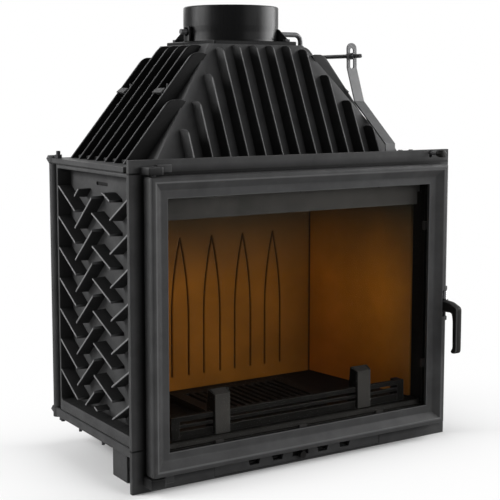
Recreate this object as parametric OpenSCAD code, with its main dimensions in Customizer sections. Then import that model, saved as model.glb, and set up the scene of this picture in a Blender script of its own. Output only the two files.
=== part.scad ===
// Cast iron fireplace insert: ribbed hood, herringbone side ribs, glazed door hinged on the left,
// rocking damper control and a sliding air shutter. Millimetres, front face at y = 0, floor at z = 0.

/* [Front frame] */
// Width of the front frame plate
frame_w = 700; // [660:5:800]
// Height of the front frame plate
frame_h = 571; // [571:1:620]
// Thickness of the front frame plate
frame_t = 8; // [6:0.5:12]
// Distance from the frame's side to its opening behind the door
open_in = 58; // [56:1:70]
// Height of the opening's lower edge above the floor
open_z0 = 66; // [62:1:80]
// Distance from the frame's upper edge down to its opening
open_top_in = 62; // [60:1:80]
// Depth of the frame's rear collar, which plugs into the firebox
ring_d = 26; // [15:1:28]
// Wall of the frame's rear collar
ring_t = 10; // [6:1:16]

/* [Firebox shell] */
// Distance from the frame's side to the body's side
body_in = 8; // [6:0.5:12]
// Height of the base plate's underside
base_z = 58; // [50:1:66]
// Thickness of the base plate
base_t = 17; // [12:1:22]
// Distance from the frame's upper edge down to the top plate's underside
top_in = 23; // [20:1:26]
// Thickness of the top plate
top_t = 10; // [8:0.5:12]
// Distance from the frame's face to the top plate's front edge
top_y0 = 36; // [30:1:44]
// Thickness of the roof's lower front lip, which closes the chamber to the frame under the damper lever
roof_lip_t = 10; // [6:1:14]
// Distance from the frame's face to the back plate's front face
back_y = 340; // [320:2:380]
// Thickness of the back plate
back_t = 12; // [8:1:16]
// Radius of the back plate's corner columns
column_r = 9; // [6:0.5:10]

/* [Side panels] */
// Depth of the side panel's recess
side_recess = 26; // [15:1:28]
// Thickness of the panel's web behind the ribs
side_web = 8; // [6:1:10]
// Height of the panel's top rim
side_rim_top = 7; // [5:1:12]
// Height of the panel's bottom shelf
side_rim_bottom = 20; // [12:1:26]
// Thickness of one herringbone rib
rib_t = 4; // [3:0.5:6]
// Vertical pitch of the ribs in a column
rib_pitch = 59; // [50:1:70]
// Factor on the slopes of the four rib columns
rib_slope = 1; // [0.7:0.05:1.1]
// Height of the rib pattern's lower end above the base plate
rib_low = 34; // [30:1:50]
// Distance from the rib pattern's upper end to the top plate
rib_high = 40; // [36:1:60]

/* [Hood] */
// Height of the hood above the top plate
hood_h = 214; // [180:2:260]
// Distance from the body's side to the hood's foot
hood_in = 72; // [64:1:90]
// Width of the hood at its top
hood_w1 = 212; // [205:1:230]
// Distance from the frame's face to the hood's foot
hood_y0 = 58; // [54:1:66]
// Distance from the frame's face to the hood's top front edge
hood_y1 = 151; // [145:1:152]
// Wall of the hood
hood_t = 8; // [5:1:10]
// Thickness of a hood fin
fin_t = 4; // [3:0.5:6]
// Distance from the hood's foot corner to the outermost front fin
fin_in = 64.85; // [62:0.05:90]
// Number of fins on the hood's front
front_fins = 12; // [8:2:12]
// Depth of the front fins at the foot
front_fin_d = 30; // [20:1:32]
// Depth of the front fins at the top
front_fin_top = 26; // [18:1:30]
// Number of fins on each side of the hood
side_fins = 7; // [6:1:7]
// Depth of the side fins at the foot
side_fin_d = 40; // [25:1:42]
// Depth of the side fins at the top
side_fin_top = 28; // [18:1:30]

/* [Flue collar and damper] */
// Outer radius of the flue collar
collar_r = 93; // [80:0.5:96]
// Wall of the flue collar
collar_t = 4; // [3:0.5:6]
// Height of the flue collar above its flange
collar_h = 67; // [60:1:110]
// Thickness of the collar's square flange
flange_t = 7; // [5:0.5:10]
// Distance from the frame's face to the collar's axis
collar_y = 246; // [244:1:247]
// Height of the damper shaft above the collar's flange
shaft_h = 18; // [16:0.5:20]
// Radius of the damper shaft
shaft_r = 5; // [4:0.25:6]
// Distance from the middle to the damper crank
crank_x = 166; // [164:1:175]
// Length of the damper crank
crank_l = 44; // [40:1:50]
// Radius of the damper plate
damper_r = 84; // [70:1:84]
// Half width left on the damper plate by its two flats
damper_flat = 64; // [50:1:66]
// Tilt of the damper plate at rest
damper_tilt = 42; // [0:1:43]

/* [Damper control] */
// Distance from the hood's foot, inwards, to the slotted strap's middle
strap_in = 49; // [45:1:49]
// Width of the slotted strap
strap_w = 23; // [18:1:24]
// Thickness of the slotted strap
strap_t = 3; // [2:0.5:4]
// Radius of the rocking shaft
rocker_r = 4; // [3:0.5:4.5]
// Distance from the frame's side to the control knob
knob_in = 46.5; // [44:0.5:54]
// Radius of the control knob
knob_r = 8; // [6:0.5:10]
// Distance the knob stands before the frame
knob_y = 33; // [30:1:50]
// Radius of the link rod
link_r = 4; // [3:0.25:4.25]

/* [Door] */
// Distance from the frame's side to the door's side
door_in = 25; // [20:0.5:28]
// Height of the door's lower edge above the floor
door_z0 = 31; // [31:0.5:34]
// Distance from the frame's upper edge down to the door's upper edge
door_top_in = 27; // [27:1:38]
// Depth of the door casting
door_d = 27.5; // [26:0.5:32]
// Running gap between the door and the frame
door_gap = 4; // [3:0.5:6]
// Width of the door's flat outer border
border_w = 10; // [8:0.5:12]
// Width of the sloping moulding
bevel_w = 14; // [10:0.5:18]
// Depth of the sloping moulding
bevel_d = 12; // [8:0.5:12]
// Width of the inner flat around the glass
inner_w = 14; // [12:0.5:18]
// Thickness of the door glass
glass_t = 4; // [3:0.5:5]
// Thickness of the glass gasket
gasket_t = 2; // [1:0.25:2.5]

/* [Door fittings] */
// Radius of the hinge pins
pin_r = 4; // [3:0.25:5]
// Distance from the door's left edge to the hinge axis
hinge_in = 11; // [9.5:0.5:12]
// Width of a hinge lug
lug_w = 30; // [24:1:32]
// Height of the door handle's pivot above the floor
handle_z = 265; // [200:5:400]
// Length of the hanging grip
grip_l = 89; // [70:1:130]
// Width of the handle
grip_w = 14; // [10:0.5:14]
// Reach of the handle in front of the door
grip_reach = 38; // [30:1:60]
// Wire radius of the handle spring
wire_r = 0.9; // [0.6:0.1:1.1]
// Mean radius of the handle spring
spring_r = 4.8; // [4.6:0.1:5.4]
// Curls of the handle spring
spring_curls = 4; // [3:1:5]

/* [Air inlet] */
// Width of the air panel
air_w = 370; // [300:10:400]
// Height of the air panel
air_h = 44; // [38:1:46]
// Thickness of the air panel
air_t = 6; // [4:0.5:7]
// Pitch of the air slots
slot_pitch = 51; // [44:1:56]
// Upper width of an air slot
slot_w = 26; // [16:1:30]
// Height of an air slot
slot_h = 11; // [8:0.5:12]
// Travel of the air slider to each side
slider_travel = 13; // [8:0.5:14]

/* [Fire chamber] */
// Distance from the body's side to the side liner's face at the chamber's front
liner_in_front = 52; // [52:1:70]
// Distance from the body's side to the side liner's face at the chamber's back
liner_in_back = 94; // [88:1:112]
// Distance from the frame's face to the back liner's face
liner_y = 322; // [300:1:326]
// Thickness of the side liners
liner_t = 12; // [8:1:14]
// Distance from the top plate down to the liners' top edge
liner_top_in = 78; // [60:2:110]
// Pitch of the lancet grooves in the back liner
lancet_pitch = 75; // [66:1:80]
// Height of the grooves' points above the base plate
lancet_h = 312; // [260:1:330]
// Half width of a lancet groove
lancet_w = 21; // [16:0.5:24]
// Height of the log retainer's top bar
retainer_top = 116; // [105:1:125]
// Height of the retainer's uprights at their front
upright_top = 147; // [135:1:160]
// Front width of the retainer's uprights
upright_w = 30; // [22:1:34]

// Width of the grate
grate_w = 264; // [240:2:300]
// Depth of the grate
grate_d = 168; // [160:2:180]
// Width of the air box under the base plate
plenum_w = 260; // [240:2:268]
// Width of the ash pan
ash_w = 208; // [180:2:210]
// Depth of the ash pan
ash_d = 132; // [110:2:134]

/* [Feet] */
// Width of a front foot
foot_w = 40; // [30:1:44]
// Depth of a front foot
foot_d = 56; // [40:1:60]
// Distance from the frame's face to a front foot
foot_y = 61; // [50:1:90]
// Width of a rear foot
rear_foot_w = 38; // [30:1:50]
// Distance from the body's side to a rear foot's outer side
rear_foot_in = 170; // [120:5:195]
// Depth of a rear foot
rear_foot_d = 48; // [40:1:60]

/* [Hidden] */
$fn = 48;

// fits and seats
seat = 0.3;
run_fit = 0.05;
bolt_r = 3;
bolt_clear = 0.4;

// colours
iron = [0.16, 0.16, 0.165];
iron_dark = [0.11, 0.11, 0.115];
steel = [0.2, 0.2, 0.21];
ochre = [0.55, 0.36, 0.16];

// firebox
body_x = frame_w / 2 - body_in;
body_w = 2 * body_x;
open_w = frame_w - 2 * open_in;
open_z1 = frame_h - open_top_in;
top_z = frame_h - top_in;
floor_z = base_z + base_t;
plate_z = top_z + top_t;
rib_z0 = floor_z + rib_low;
rib_z1 = top_z - rib_high;
web_x0 = body_x - side_recess;
web_x1 = web_x0 - side_web;
panel_y0 = frame_t;
panel_y1 = back_y;
groove_y = back_y - 21;
stud_y = [back_y - 175, back_y - 75];
stud_in = 17;
tie_x = body_x - 9;
tie_r = 4;
column_x = body_x - column_r + 2;
column_y = back_y + column_r - 4;
tie_y = column_y - column_r - 8;

// hood
hood_w0 = 2 * (body_x - hood_in);
hood_z1 = plate_z + hood_h;
hood_yb = back_y + 2;
face_run = (hood_y1 - hood_y0) / hood_h;
side_run = (hood_w0 - hood_w1) / 2 / hood_h;
fin_front_y = 103;
fin_pitch = (hood_w0 - 2 * fin_in) / (front_fins - 1);
side_pitch = (back_y - 15 - fin_front_y) / (side_fins - 1);
hood_bolt_y = [hood_y0 + 64, back_y - 33];
lug_rise = 0.589 * hood_h;

// flue collar
collar_z0 = hood_z1;
tube_z0 = collar_z0 + flange_t;
tube_z1 = tube_z0 + collar_h;
bore_r = collar_r - collar_t;
shaft_z = tube_z0 + shaft_h;
link_z = shaft_z - crank_l;
spigot_z0 = shaft_z + 11;
spigot_step = 1;
shaft_end = collar_r + 20;
bend_r = 14;

// damper control
strap_x = hood_w0 / 2 - strap_in;
knob_x = frame_w / 2 - knob_in;
rocker_y = 22;
rocker_z = plate_z + 6.5;
slot_r = link_r + 0.5;
strap_low = [rocker_y, plate_z + 25];
strap_mid = [rocker_y + 98, plate_z + 105];
strap_up = [collar_y - 100.5, link_z - 23];
strap_top = [collar_y - 99, link_z + 26];
strap_slot_z = [link_z - 20, link_z + 11.5];
strap_gap = 3.2;
link_reach = 128;
knob_len = 14;

// door
door_x = frame_w / 2 - door_in;
door_w = 2 * door_x;
door_z1 = frame_h - door_top_in;
door_h = door_z1 - door_z0;
door_yb = -door_gap;
door_yf = door_yb - door_d;
inner_yf = door_yf + bevel_d;
glass_in = border_w + bevel_w + inner_w;
seat_in = glass_in - 8;
lip_t = 5.5;
glass_y0 = inner_yf + lip_t + gasket_t;
hinge_x = -door_x + hinge_in;
hinge_y = door_yb - 15;
notch_z0 = handle_z - 20;
notch_z1 = handle_z + 31.5;
handle_x = door_x;
handle_y = door_yf + 6.5;
hub_r = 7.5;
hub_h = 23;
handle_pin_r = 3;
nose_x = 6.7;
nose_y = 13;
nose_t = 5;
lip_gap = 0.5;

// air inlet
air_z0 = 4;
air_y0 = 0.6;
ear_y = frame_t + seat;
slot_z = air_z0 + 6.5;
rail_x = 2 * slot_pitch + slot_w + 40;
slider_x = rail_x - 18;

// fire chamber
chamber_front = body_x - liner_in_front;
chamber_back = body_x - liner_in_back;
liner_top = top_z - liner_top_in;
grate_y = 180;
retainer_in = 28;
upright_x = 0.61 * (chamber_front - retainer_in);
liner_z0 = floor_z + seat;
liner_front = frame_t + ring_d + 4;
retainer_y = frame_t + 12;

module slab(x0, x1, y0, y1, z0, z1) {
    translate([x0, y0, z0]) cube([x1 - x0, y1 - y0, z1 - z0]);
}

module rod_x(x0, x1, y, z, r) {
    translate([x0, y, z]) rotate([0, 90, 0]) cylinder(h = x1 - x0, r = r);
}

module rod_y(x, y0, y1, z, r) {
    translate([x, y0, z]) rotate([-90, 0, 0]) cylinder(h = y1 - y0, r = r);
}

module rod_z(x, y, z0, z1, r) {
    translate([x, y, z0]) cylinder(h = z1 - z0, r = r);
}

module hex_y(x, y0, y1, z, r) {
    translate([x, y0, z]) rotate([-90, 0, 0]) cylinder(h = y1 - y0, r = r, $fn = 6);
}

module hex_z(x, y, z0, z1, r) {
    translate([x, y, z0]) cylinder(h = z1 - z0, r = r, $fn = 6);
}

module both_sides() {
    children();
    mirror([1, 0, 0]) children();
}

// prism of an outline in the (y, z) plane, between two x values
module across(x0, x1) {
    translate([x0, 0, 0]) rotate([90, 0, 90]) linear_extrude(x1 - x0) children();
}

// prism of an outline in the (x, z) plane, between two y values
module along(y0, y1) {
    translate([0, y1, 0]) rotate([90, 0, 0]) linear_extrude(y1 - y0) children();
}

// frame and air inlet
module front_frame() {
    ring_x = open_w / 2 + ring_t;
    color(iron) difference() {
        union() {
            slab(-frame_w / 2, frame_w / 2, 0, frame_t, 0, frame_h);
            slab(-ring_x, ring_x, 0, frame_t + ring_d, open_z0 - ring_t + 20, open_z1 + ring_t);
        }
        slab(-open_w / 2, open_w / 2, -1, frame_t + ring_d + 1, open_z0, open_z1);
        slab(-air_w / 2 - seat, air_w / 2 + seat, -1, frame_t + 1, air_z0 - seat, air_z0 + air_h + seat);
        slab(-ring_x - 1, ring_x + 1, frame_t, frame_t + ring_d + 1, 0, floor_z + seat);
        for (p = ear_points()) rod_y(p[0], frame_t - 5, frame_t + 1, p[1], 2.6);
        for (z = catch_z()) rod_y(handle_x + 11.7, -1, 6.5, z, 2.6);
        for (z = [rocker_z - 4.5, rocker_z + 0.2]) rod_y(knob_x, -1, frame_t + 1, z, 4.4);
        slab(knob_x - 4.4, knob_x + 4.4, -1, frame_t + 1, rocker_z - 4.5, rocker_z + 0.2);
    }
}

function slot_outline(w, h) = [[-w / 2 + 3, 0], [w / 2 - 3, 0], [w / 2, h], [-w / 2, h]];

module air_panel() {
    color(iron) difference() {
        union() {
            slab(-air_w / 2, air_w / 2, air_y0, air_y0 + air_t, air_z0, air_z0 + air_h);
            for (s = [-1, 1]) {
                slab(s * (air_w / 2 - 6) - 5, s * (air_w / 2 - 6) + 5, air_y0 + air_t - 1, ear_y + 3,
                     air_z0 + 4, air_z0 + air_h - 4);
                slab(s * (air_w / 2 + 2) - 12, s * (air_w / 2 + 2) + 12, ear_y, ear_y + 3,
                     air_z0 + 4, air_z0 + air_h - 4);
            }
            for (z = [slot_z - 4.8, slot_z + slot_h + 2.4])
                slab(-rail_x, rail_x, air_y0 + air_t, air_y0 + air_t + 5.4, z, z + 2.4);
            slab(-rail_x, rail_x, air_y0 + air_t + 3.4, air_y0 + air_t + 5.4, slot_z - 4.8, slot_z - 1);
            slab(-rail_x, rail_x, air_y0 + air_t + 3.4, air_y0 + air_t + 5.4, slot_z + slot_h + 1, slot_z + slot_h + 4.8);
        }
        for (k = [-2, -1, 1, 2])
            translate([k * slot_pitch, 0, slot_z]) along(-1, air_y0 + air_t + 7)
                polygon(slot_outline(slot_w, slot_h));
        slab(-slider_travel - 5, slider_travel + 5, -1, air_y0 + air_t + 7, slot_z + 0.5, slot_z + slot_h - 1);
        for (p = ear_points()) rod_y(p[0], ear_y - 1, ear_y + 4, p[1], 2.6);
    }
}

function ear_points() = [for (s = [-1, 1], z = [air_z0 + 12, air_z0 + air_h - 12]) [s * (air_w / 2 + 7.5), z]];

module air_panel_screws() {
    color(steel) for (p = ear_points()) {
        rod_y(p[0], frame_t - 4, ear_y + 6, p[1], 2.5);
        hex_y(p[0], ear_y + 3 + seat, ear_y + 7, p[1], 4.5);
    }
}

module air_slider() {
    y0 = air_y0 + air_t + seat;
    knob_z = slot_z + slot_h / 2 - 0.5;
    color(iron_dark) difference() {
        union() {
            slab(-slider_x, slider_x, y0, y0 + 2.8, slot_z - 2, slot_z + slot_h + 2);
            rod_y(0, -4, y0 + 1, knob_z, 3.6);
            rod_y(0, -9, -1, knob_z - 1.5, 6.5);
        }
        for (k = [-2, -1, 1, 2])
            translate([k * slot_pitch, 0, slot_z]) along(y0 - 1, y0 + 4) polygon(slot_outline(slot_w, slot_h));
    }
}

// firebox shell
module base_plate() {
    color(iron) difference() {
        union() {
            slab(-body_x, body_x, frame_t, back_y + back_t, base_z, floor_z);
            for (s = [-1, 1]) rod_z(s * column_x, column_y, base_z - 3, floor_z - seat, column_r + 1);
        }
        slab(-ash_w / 2 - 6, ash_w / 2 + 6, grate_y - ash_d / 2 - 4, grate_y + ash_d / 2 + 4, base_z - 1, floor_z + 1);
        for (s = [-1, 1]) {
            rod_y(s * column_x, column_y - 4, column_y + column_r + 2, base_z + 8, bolt_r + bolt_clear);
            rod_z(s * tie_x, tie_y, base_z - 5, floor_z + 1, tie_r + 0.4);
            for (y = stud_y) rod_z(s * (body_x - stud_in), y, base_z - 1, base_z + 9, 3.4);
        }
    }
}

module top_plate() {
    color(iron) difference() {
        union() {
            slab(-body_x, body_x, top_y0, back_y + back_t, top_z, plate_z);
            slab(seat - web_x1, web_x1 - seat, frame_t + seat, top_y0 + top_t, top_z - roof_lip_t, top_z);
            slab(seat - web_x1, web_x1 - seat, top_y0, top_y0 + top_t, top_z - roof_lip_t, top_z + top_t / 2);
            for (s = [-1, 1]) rod_z(s * column_x, column_y, top_z, plate_z + 5, column_r + 1);
        }
        slab(-hood_w0 / 2 + 30, hood_w0 / 2 - 30, hood_y0 + 30, back_y - 20, top_z - 1, plate_z + 1);
        for (s = [-1, 1]) {
            rod_y(s * column_x, column_y - 4, column_y + column_r + 2, top_z + 8, bolt_r + bolt_clear);
            rod_z(s * tie_x, tie_y, top_z - 1, plate_z + 8, tie_r + 0.4);
            for (y = hood_bolt_y) rod_z(s * (hood_w0 / 2 + 12), y, top_z - 1, plate_z + 1, bolt_r + bolt_clear);
        }
    }
}

// outline of one herringbone rib as a slanted bar in the (y, z) plane
module rib(ya, yb, z_mid, slope) {
    h = rib_t / 2 * sqrt(1 + slope * slope);
    d = slope * (yb - ya) / 2;
    polygon([[ya, z_mid - d - h], [yb, z_mid + d - h], [yb, z_mid + d + h], [ya, z_mid - d + h]]);
}

module herringbone() {
    y0 = frame_t + 12;
    w = (groove_y - 6 - y0) / 4;
    phase = [12.5, 39, 52.5, 15];
    slopes = [-0.59, 0.43, -0.83, 0.575] * rib_slope;
    difference() {
        intersection() {
            across(-body_x + 0.6, -web_x0 + 1) union()
                for (c = [0:3], k = [-1:ceil((rib_z1 - rib_z0) / rib_pitch) + 1])
                    rib(y0 + c * w, y0 + (c + 1) * w, rib_z0 - 50 + phase[c] + k * rib_pitch,
                        slopes[c]);
            slab(-body_x, 0, 0, groove_y, rib_z0, rib_z1);
        }
    }
}

module side_panel() {
    z0 = floor_z;
    z1 = top_z;
    color(iron) union() {
        difference() {
            slab(-body_x, -web_x1, panel_y0, groove_y, z0, z1);
            slab(-body_x - 1, -web_x0, panel_y0 + 10, groove_y - 6, z0 + side_rim_bottom, z1 - side_rim_top);
            slab(-web_x0 - 1, -web_x0 + 2, 150, 197, z1 - 32, z1 - 25.5);
        }
        slab(-body_x + 17, -web_x1, groove_y - 1, panel_y1, z0, z1);
        herringbone();
    }
}

module side_panel_left() {
    side_panel();
}

module side_panel_right() {
    mirror([1, 0, 0]) side_panel();
}

module back_plate() {
    color(iron) difference() {
        union() {
            slab(-body_x + 8, body_x - 8, back_y, back_y + back_t, floor_z, top_z);
            for (s = [-1, 1]) rod_z(s * column_x, column_y, floor_z, top_z, column_r);
            for (k = [-4:4]) slab(k * body_w / 10.36 - 2.5, k * body_w / 10.36 + 2.5, back_y + back_t, back_y + back_t + 9, floor_z + 30, top_z - 30);
        }
        for (s = [-1, 1], z = [floor_z - 1, top_z - 15])
            rod_z(s * tie_x, tie_y, z, z + 16, tie_r + 0.4);
    }
}

module front_feet() {
    color(iron_dark) both_sides() difference() {
        slab(-body_x + 13, -body_x + 13 + foot_w, foot_y, foot_y + foot_d, 0, base_z);
        slab(-body_x + 19, -body_x + 14 + foot_w, foot_y + 6, foot_y + foot_d - 6, 8, base_z - 8);
    }
}

module rear_feet() {
    x = -body_x + rear_foot_in;
    y = back_y - 8;
    color(iron_dark) both_sides() difference() {
        slab(x, x + rear_foot_w, y - rear_foot_d, y, 0, base_z);
        slab(x - 1, x + rear_foot_w - 6, y - rear_foot_d + 6, y - 6, 8, base_z - 8);
    }
}

module air_plenum() {
    x = plenum_w / 2;
    y = grate_y + grate_d / 2 + 12;
    color(steel) difference() {
        slab(-x, x, frame_t + 6, y, 10, base_z);
        slab(-x + 3, x - 3, frame_t + 5, y - 3, 13, base_z + 1);
    }
}

module ash_pan() {
    x = ash_w / 2;
    y = ash_d / 2;
    color(steel) difference() {
        slab(-x, x, grate_y - y, grate_y + y, 13 + seat, base_z - 8);
        slab(-x + 2, x - 2, grate_y - y + 2, grate_y + y - 2, 15 + seat, base_z - 7);
    }
}

module tie_rods() {
    color(steel) both_sides() rod_z(-tie_x, tie_y, base_z - 10, plate_z + 14, tie_r);
}

module tie_rod_nuts() {
    color(steel) both_sides() {
        difference() {
            hex_z(-tie_x, tie_y, plate_z + seat, plate_z + 7, 7.5);
            rod_z(-tie_x, tie_y, plate_z - 1, plate_z + 8, tie_r + run_fit);
        }
        difference() {
            hex_z(-tie_x, tie_y, base_z - 7, base_z - seat, 7.5);
            rod_z(-tie_x, tie_y, base_z - 8, base_z + 1, tie_r + run_fit);
        }
    }
}

module corner_bolts() {
    yb = column_y + column_r + 1;
    color(steel) both_sides() for (z = [base_z + 8, top_z + 8]) {
        hex_y(-column_x, yb + seat, yb + 9, z, 7.5);
        rod_y(-column_x, column_y - 2, yb + 1, z, bolt_r);
    }
}

module base_studs() {
    color(steel) both_sides() for (y = stud_y) {
        rod_z(-body_x + stud_in, y, base_z - 16, base_z + base_t * 0.47, 3);
        hex_z(-body_x + stud_in, y, base_z - 8, base_z - seat, 6.5);
    }
}

// hood and flue
module frustum(grow, z0, z1) {
    zt = hood_z1;
    x0 = hood_w0 / 2 + grow;
    x1 = hood_w1 / 2 + grow;
    intersection() {
        along(0, back_y + 60)
            polygon([[-x0 - side_run * 20, plate_z - 20], [x0 + side_run * 20, plate_z - 20],
                     [x1 - side_run * 20, zt + 20], [-x1 + side_run * 20, zt + 20]]);
        across(-frame_w / 2, frame_w / 2)
            polygon([[hood_y0 - grow - face_run * 20, plate_z - 20], [hood_yb + grow, plate_z - 20],
                     [hood_yb + grow, zt + 20], [hood_y1 - grow + face_run * 20, zt + 20]]);
        slab(-frame_w, frame_w, 0, back_y + 60, z0, z1);
    }
}

// a fin's outline: the wall line at "a", rising by "run" per unit height, and a tip line outside it,
// "d" away at the foot and "d_top" at the hood's top
module fin_outline(a, run, d, d_top, z_top) {
    h = z_top - plate_z;
    tip = run + (d - d_top) / hood_h;
    x = a - d + tip * h;
    polygon([[a - d, plate_z], [x - tip * 12, z_top - 12], [x - tip * 3 + 2, z_top - 3.5], [x + 6, z_top],
             [a + run * h + 4, z_top], [a + 4, plate_z]]);
}

module smoke_hood() {
    color(iron) difference() {
        union() {
            frustum(0, plate_z, hood_z1);
            slab(-hood_w0 / 2 - 24, hood_w0 / 2 + 24, hood_y0 - 4, hood_yb, plate_z, plate_z + 6);
            for (k = [0:front_fins - 1]) {
                x = (k - (front_fins - 1) / 2) * fin_pitch;
                z_top = min(hood_z1 - 2, hood_z1 - (abs(x) + 19 - hood_w1 / 2) / side_run);
                across(x - fin_t / 2, x + fin_t / 2) fin_outline(hood_y0, face_run, front_fin_d, front_fin_top, z_top);
            }
            for (k = [0:side_fins - 1], s = [-1, 1]) {
                y = fin_front_y + k * side_pitch;
                z_end = min(hood_z1 - 2, plate_z + (y - hood_y0) / face_run + 8);
                z_top = y > back_y - 20 ? hood_z1 - 23 : s > 0 && k == 0 ? plate_z + 70 : z_end;
                mirror([s > 0 ? 1 : 0, 0, 0]) along(y - fin_t / 2, y + fin_t / 2)
                    fin_outline(-hood_w0 / 2, side_run, side_fin_d, side_fin_top, z_top);
            }
        }
        frustum(-hood_t, plate_z - 1, hood_z1 - hood_t);
        rod_z(0, collar_y, hood_z1 - hood_t - 1, hood_z1 + 1, bore_r - 4);
        for (s = [-1, 1], y = hood_bolt_y) rod_z(s * (hood_w0 / 2 + 12), y, plate_z - 1, plate_z + 7, bolt_r + bolt_clear);
        for (p = collar_points()) rod_z(p[0], p[1], hood_z1 - hood_t - 1, hood_z1 + 1, bolt_r + bolt_clear);
    }
}

module hood_bolts() {
    color(steel) both_sides() for (y = hood_bolt_y) {
        rod_z(-hood_w0 / 2 - 12, y, top_z - 8, plate_z + 8, bolt_r);
        hex_z(-hood_w0 / 2 - 12, y, plate_z + 6 + seat, plate_z + 11, 6);
    }
}

module lifting_lugs() {
    z = plate_z + lug_rise;
    x_wall = hood_w0 / 2 - side_run * (z - plate_z);
    half = (side_pitch - fin_t) / 2 - seat;
    color(iron) both_sides() for (k = [1.5, side_fins - 1.5]) {
        y = fin_front_y + k * side_pitch;
        difference() {
            along(y - half, y + half)
                polygon([[-x_wall - seat - side_run * 12, z - 12], [-x_wall - seat + side_run * 2, z + 2],
                         [-x_wall - 30, z + 6], [-x_wall - 40, z - 2]]);
            rod_z(-x_wall - 22, y + 3, z - 20, z + 12, 5);
        }
        slab(-x_wall - 18, -x_wall - 12, y - 4, y + 1, z, z + 14);
    }
}

module flue_collar() {
    h = collar_r;
    color(steel) difference() {
        union() {
            slab(-h, h, collar_y - h, collar_y + h, collar_z0, tube_z0);
            rod_z(0, collar_y, collar_z0, spigot_z0 + 0.5, collar_r - spigot_step);
            rod_z(0, collar_y, spigot_z0, tube_z1, collar_r);
            for (s = [-1, 1]) {
                rod_x(s > 0 ? bore_r : -collar_r - 7, s > 0 ? collar_r + 7 : -bore_r, collar_y, shaft_z, 10);
                slab(s * (collar_r + 4.5) - 2.5, s * (collar_r + 4.5) + 2.5, collar_y - 10, collar_y + 10, tube_z0 - 1, shaft_z + 10);
            }
            for (a = gusset_turns) translate([0, collar_y, tube_z0]) rotate([0, 0, a]) translate([collar_r - 1, 2.5, 0])
                rotate([90, 0, 0]) linear_extrude(5) polygon([[0, -1], [24, -1], [24, 2], [4, 24], [0, 24]]);
        }
        rod_z(0, collar_y, collar_z0 - 1, tube_z1 + 1, bore_r);
        rod_x(-shaft_end - 5, shaft_end + 5, collar_y, shaft_z, shaft_r + run_fit);
        for (p = collar_points()) rod_z(p[0], p[1], collar_z0 - 1, tube_z0 + 1, bolt_r + bolt_clear);
    }
}

// two bolts beside the foot of each corner gusset
gusset_turns = [135, 315];
function collar_points() = [for (a = gusset_turns, d = [-9, 9]) let(c = (collar_r - 9) * 1.32)
    [c * cos(a) - d * sin(a), collar_y + c * sin(a) + d * cos(a)]];

module collar_bolts() {
    color(steel) for (p = collar_points()) {
        rod_z(p[0], p[1], collar_z0 - hood_t, tube_z0 + 5, bolt_r);
        hex_z(p[0], p[1], tube_z0 + seat, tube_z0 + 5, 5.5);
    }
}

module damper_shaft() {
    color(steel) difference() {
        union() {
            rod_x(-shaft_end, crank_x - bend_r, collar_y, shaft_z, shaft_r);
            translate([crank_x - bend_r, collar_y, shaft_z - bend_r]) rotate([90, 0, 0])
                rotate_extrude(angle = 90) translate([bend_r, 0]) circle(shaft_r);
            rod_z(crank_x, collar_y, link_z + 5, shaft_z - bend_r, shaft_r);
            rod_x(crank_x - 5, crank_x + 5, collar_y, link_z, 9);
        }
        rod_x(crank_x - 6, crank_x + 6, collar_y, link_z, link_r + run_fit);
    }
}

module damper_plate() {
    color(iron_dark) translate([0, collar_y, shaft_z]) rotate([damper_tilt, 0, 0]) difference() {
        union() {
            intersection() {
                translate([0, 0, -2.5]) cylinder(h = 5, r = damper_r);
                translate([-damper_r, -damper_flat, -3]) cube([2 * damper_r, 2 * damper_flat, 6]);
            }
            rod_x(-damper_r + 14, damper_r - 14, 0, 0, shaft_r + 4);
        }
        rod_x(-damper_r - 1, damper_r + 1, 0, 0, shaft_r + run_fit);
    }
}

module link_rod() {
    color(steel) union() {
        rod_x(crank_x - 8, strap_x, collar_y, link_z, link_r);
        translate([strap_x, collar_y, link_z]) sphere(link_r);
        for (x = [crank_x - 8, crank_x + 5 + seat]) rod_x(x, x + 2.7, collar_y, link_z, link_r + 2.5);
        rod_y(strap_x, collar_y - link_reach, collar_y, link_z, link_r);
        translate([strap_x, collar_y - link_reach, link_z]) sphere(link_r);
    }
}

module link_nuts() {
    ys = collar_y - 99.5;
    color(steel) for (y = [ys - strap_t / 2 - strap_gap - 6, ys + strap_t / 2 + strap_gap])
        difference() {
            hex_y(strap_x, y, y + 6, link_z, 7.5);
            rod_y(strap_x, y - 1, y + 7, link_z, link_r + run_fit);
        }
}

// damper control at the frame's upper right
module rocker_brackets() {
    color(steel) for (x = [strap_x + 23, strap_x + 49]) difference() {
        union() {
            slab(x, x + 6, frame_t, rocker_y, rocker_z - 7, rocker_z + 5);
            rod_x(x, x + 6, rocker_y, rocker_z, 7);
            slab(x - 5, x + 11, frame_t, frame_t + 3, rocker_z - 16, rocker_z + 5);
        }
        rod_x(x - 1, x + 7, rocker_y, rocker_z, rocker_r + run_fit);
    }
}

// band of constant thickness along a chain of (y, z) points
function unit(v) = v / norm(v);
function side_of(p, i) = let(a = p[max(i - 1, 0)], b = p[min(i + 1, len(p) - 1)], u = unit(b - a)) [-u[1], u[0]];
function band(p, t) = concat([for (i = [0:len(p) - 1]) p[i] + side_of(p, i) * t / 2],
                             [for (i = [len(p) - 1:-1:0]) p[i] - side_of(p, i) * t / 2]);

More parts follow.
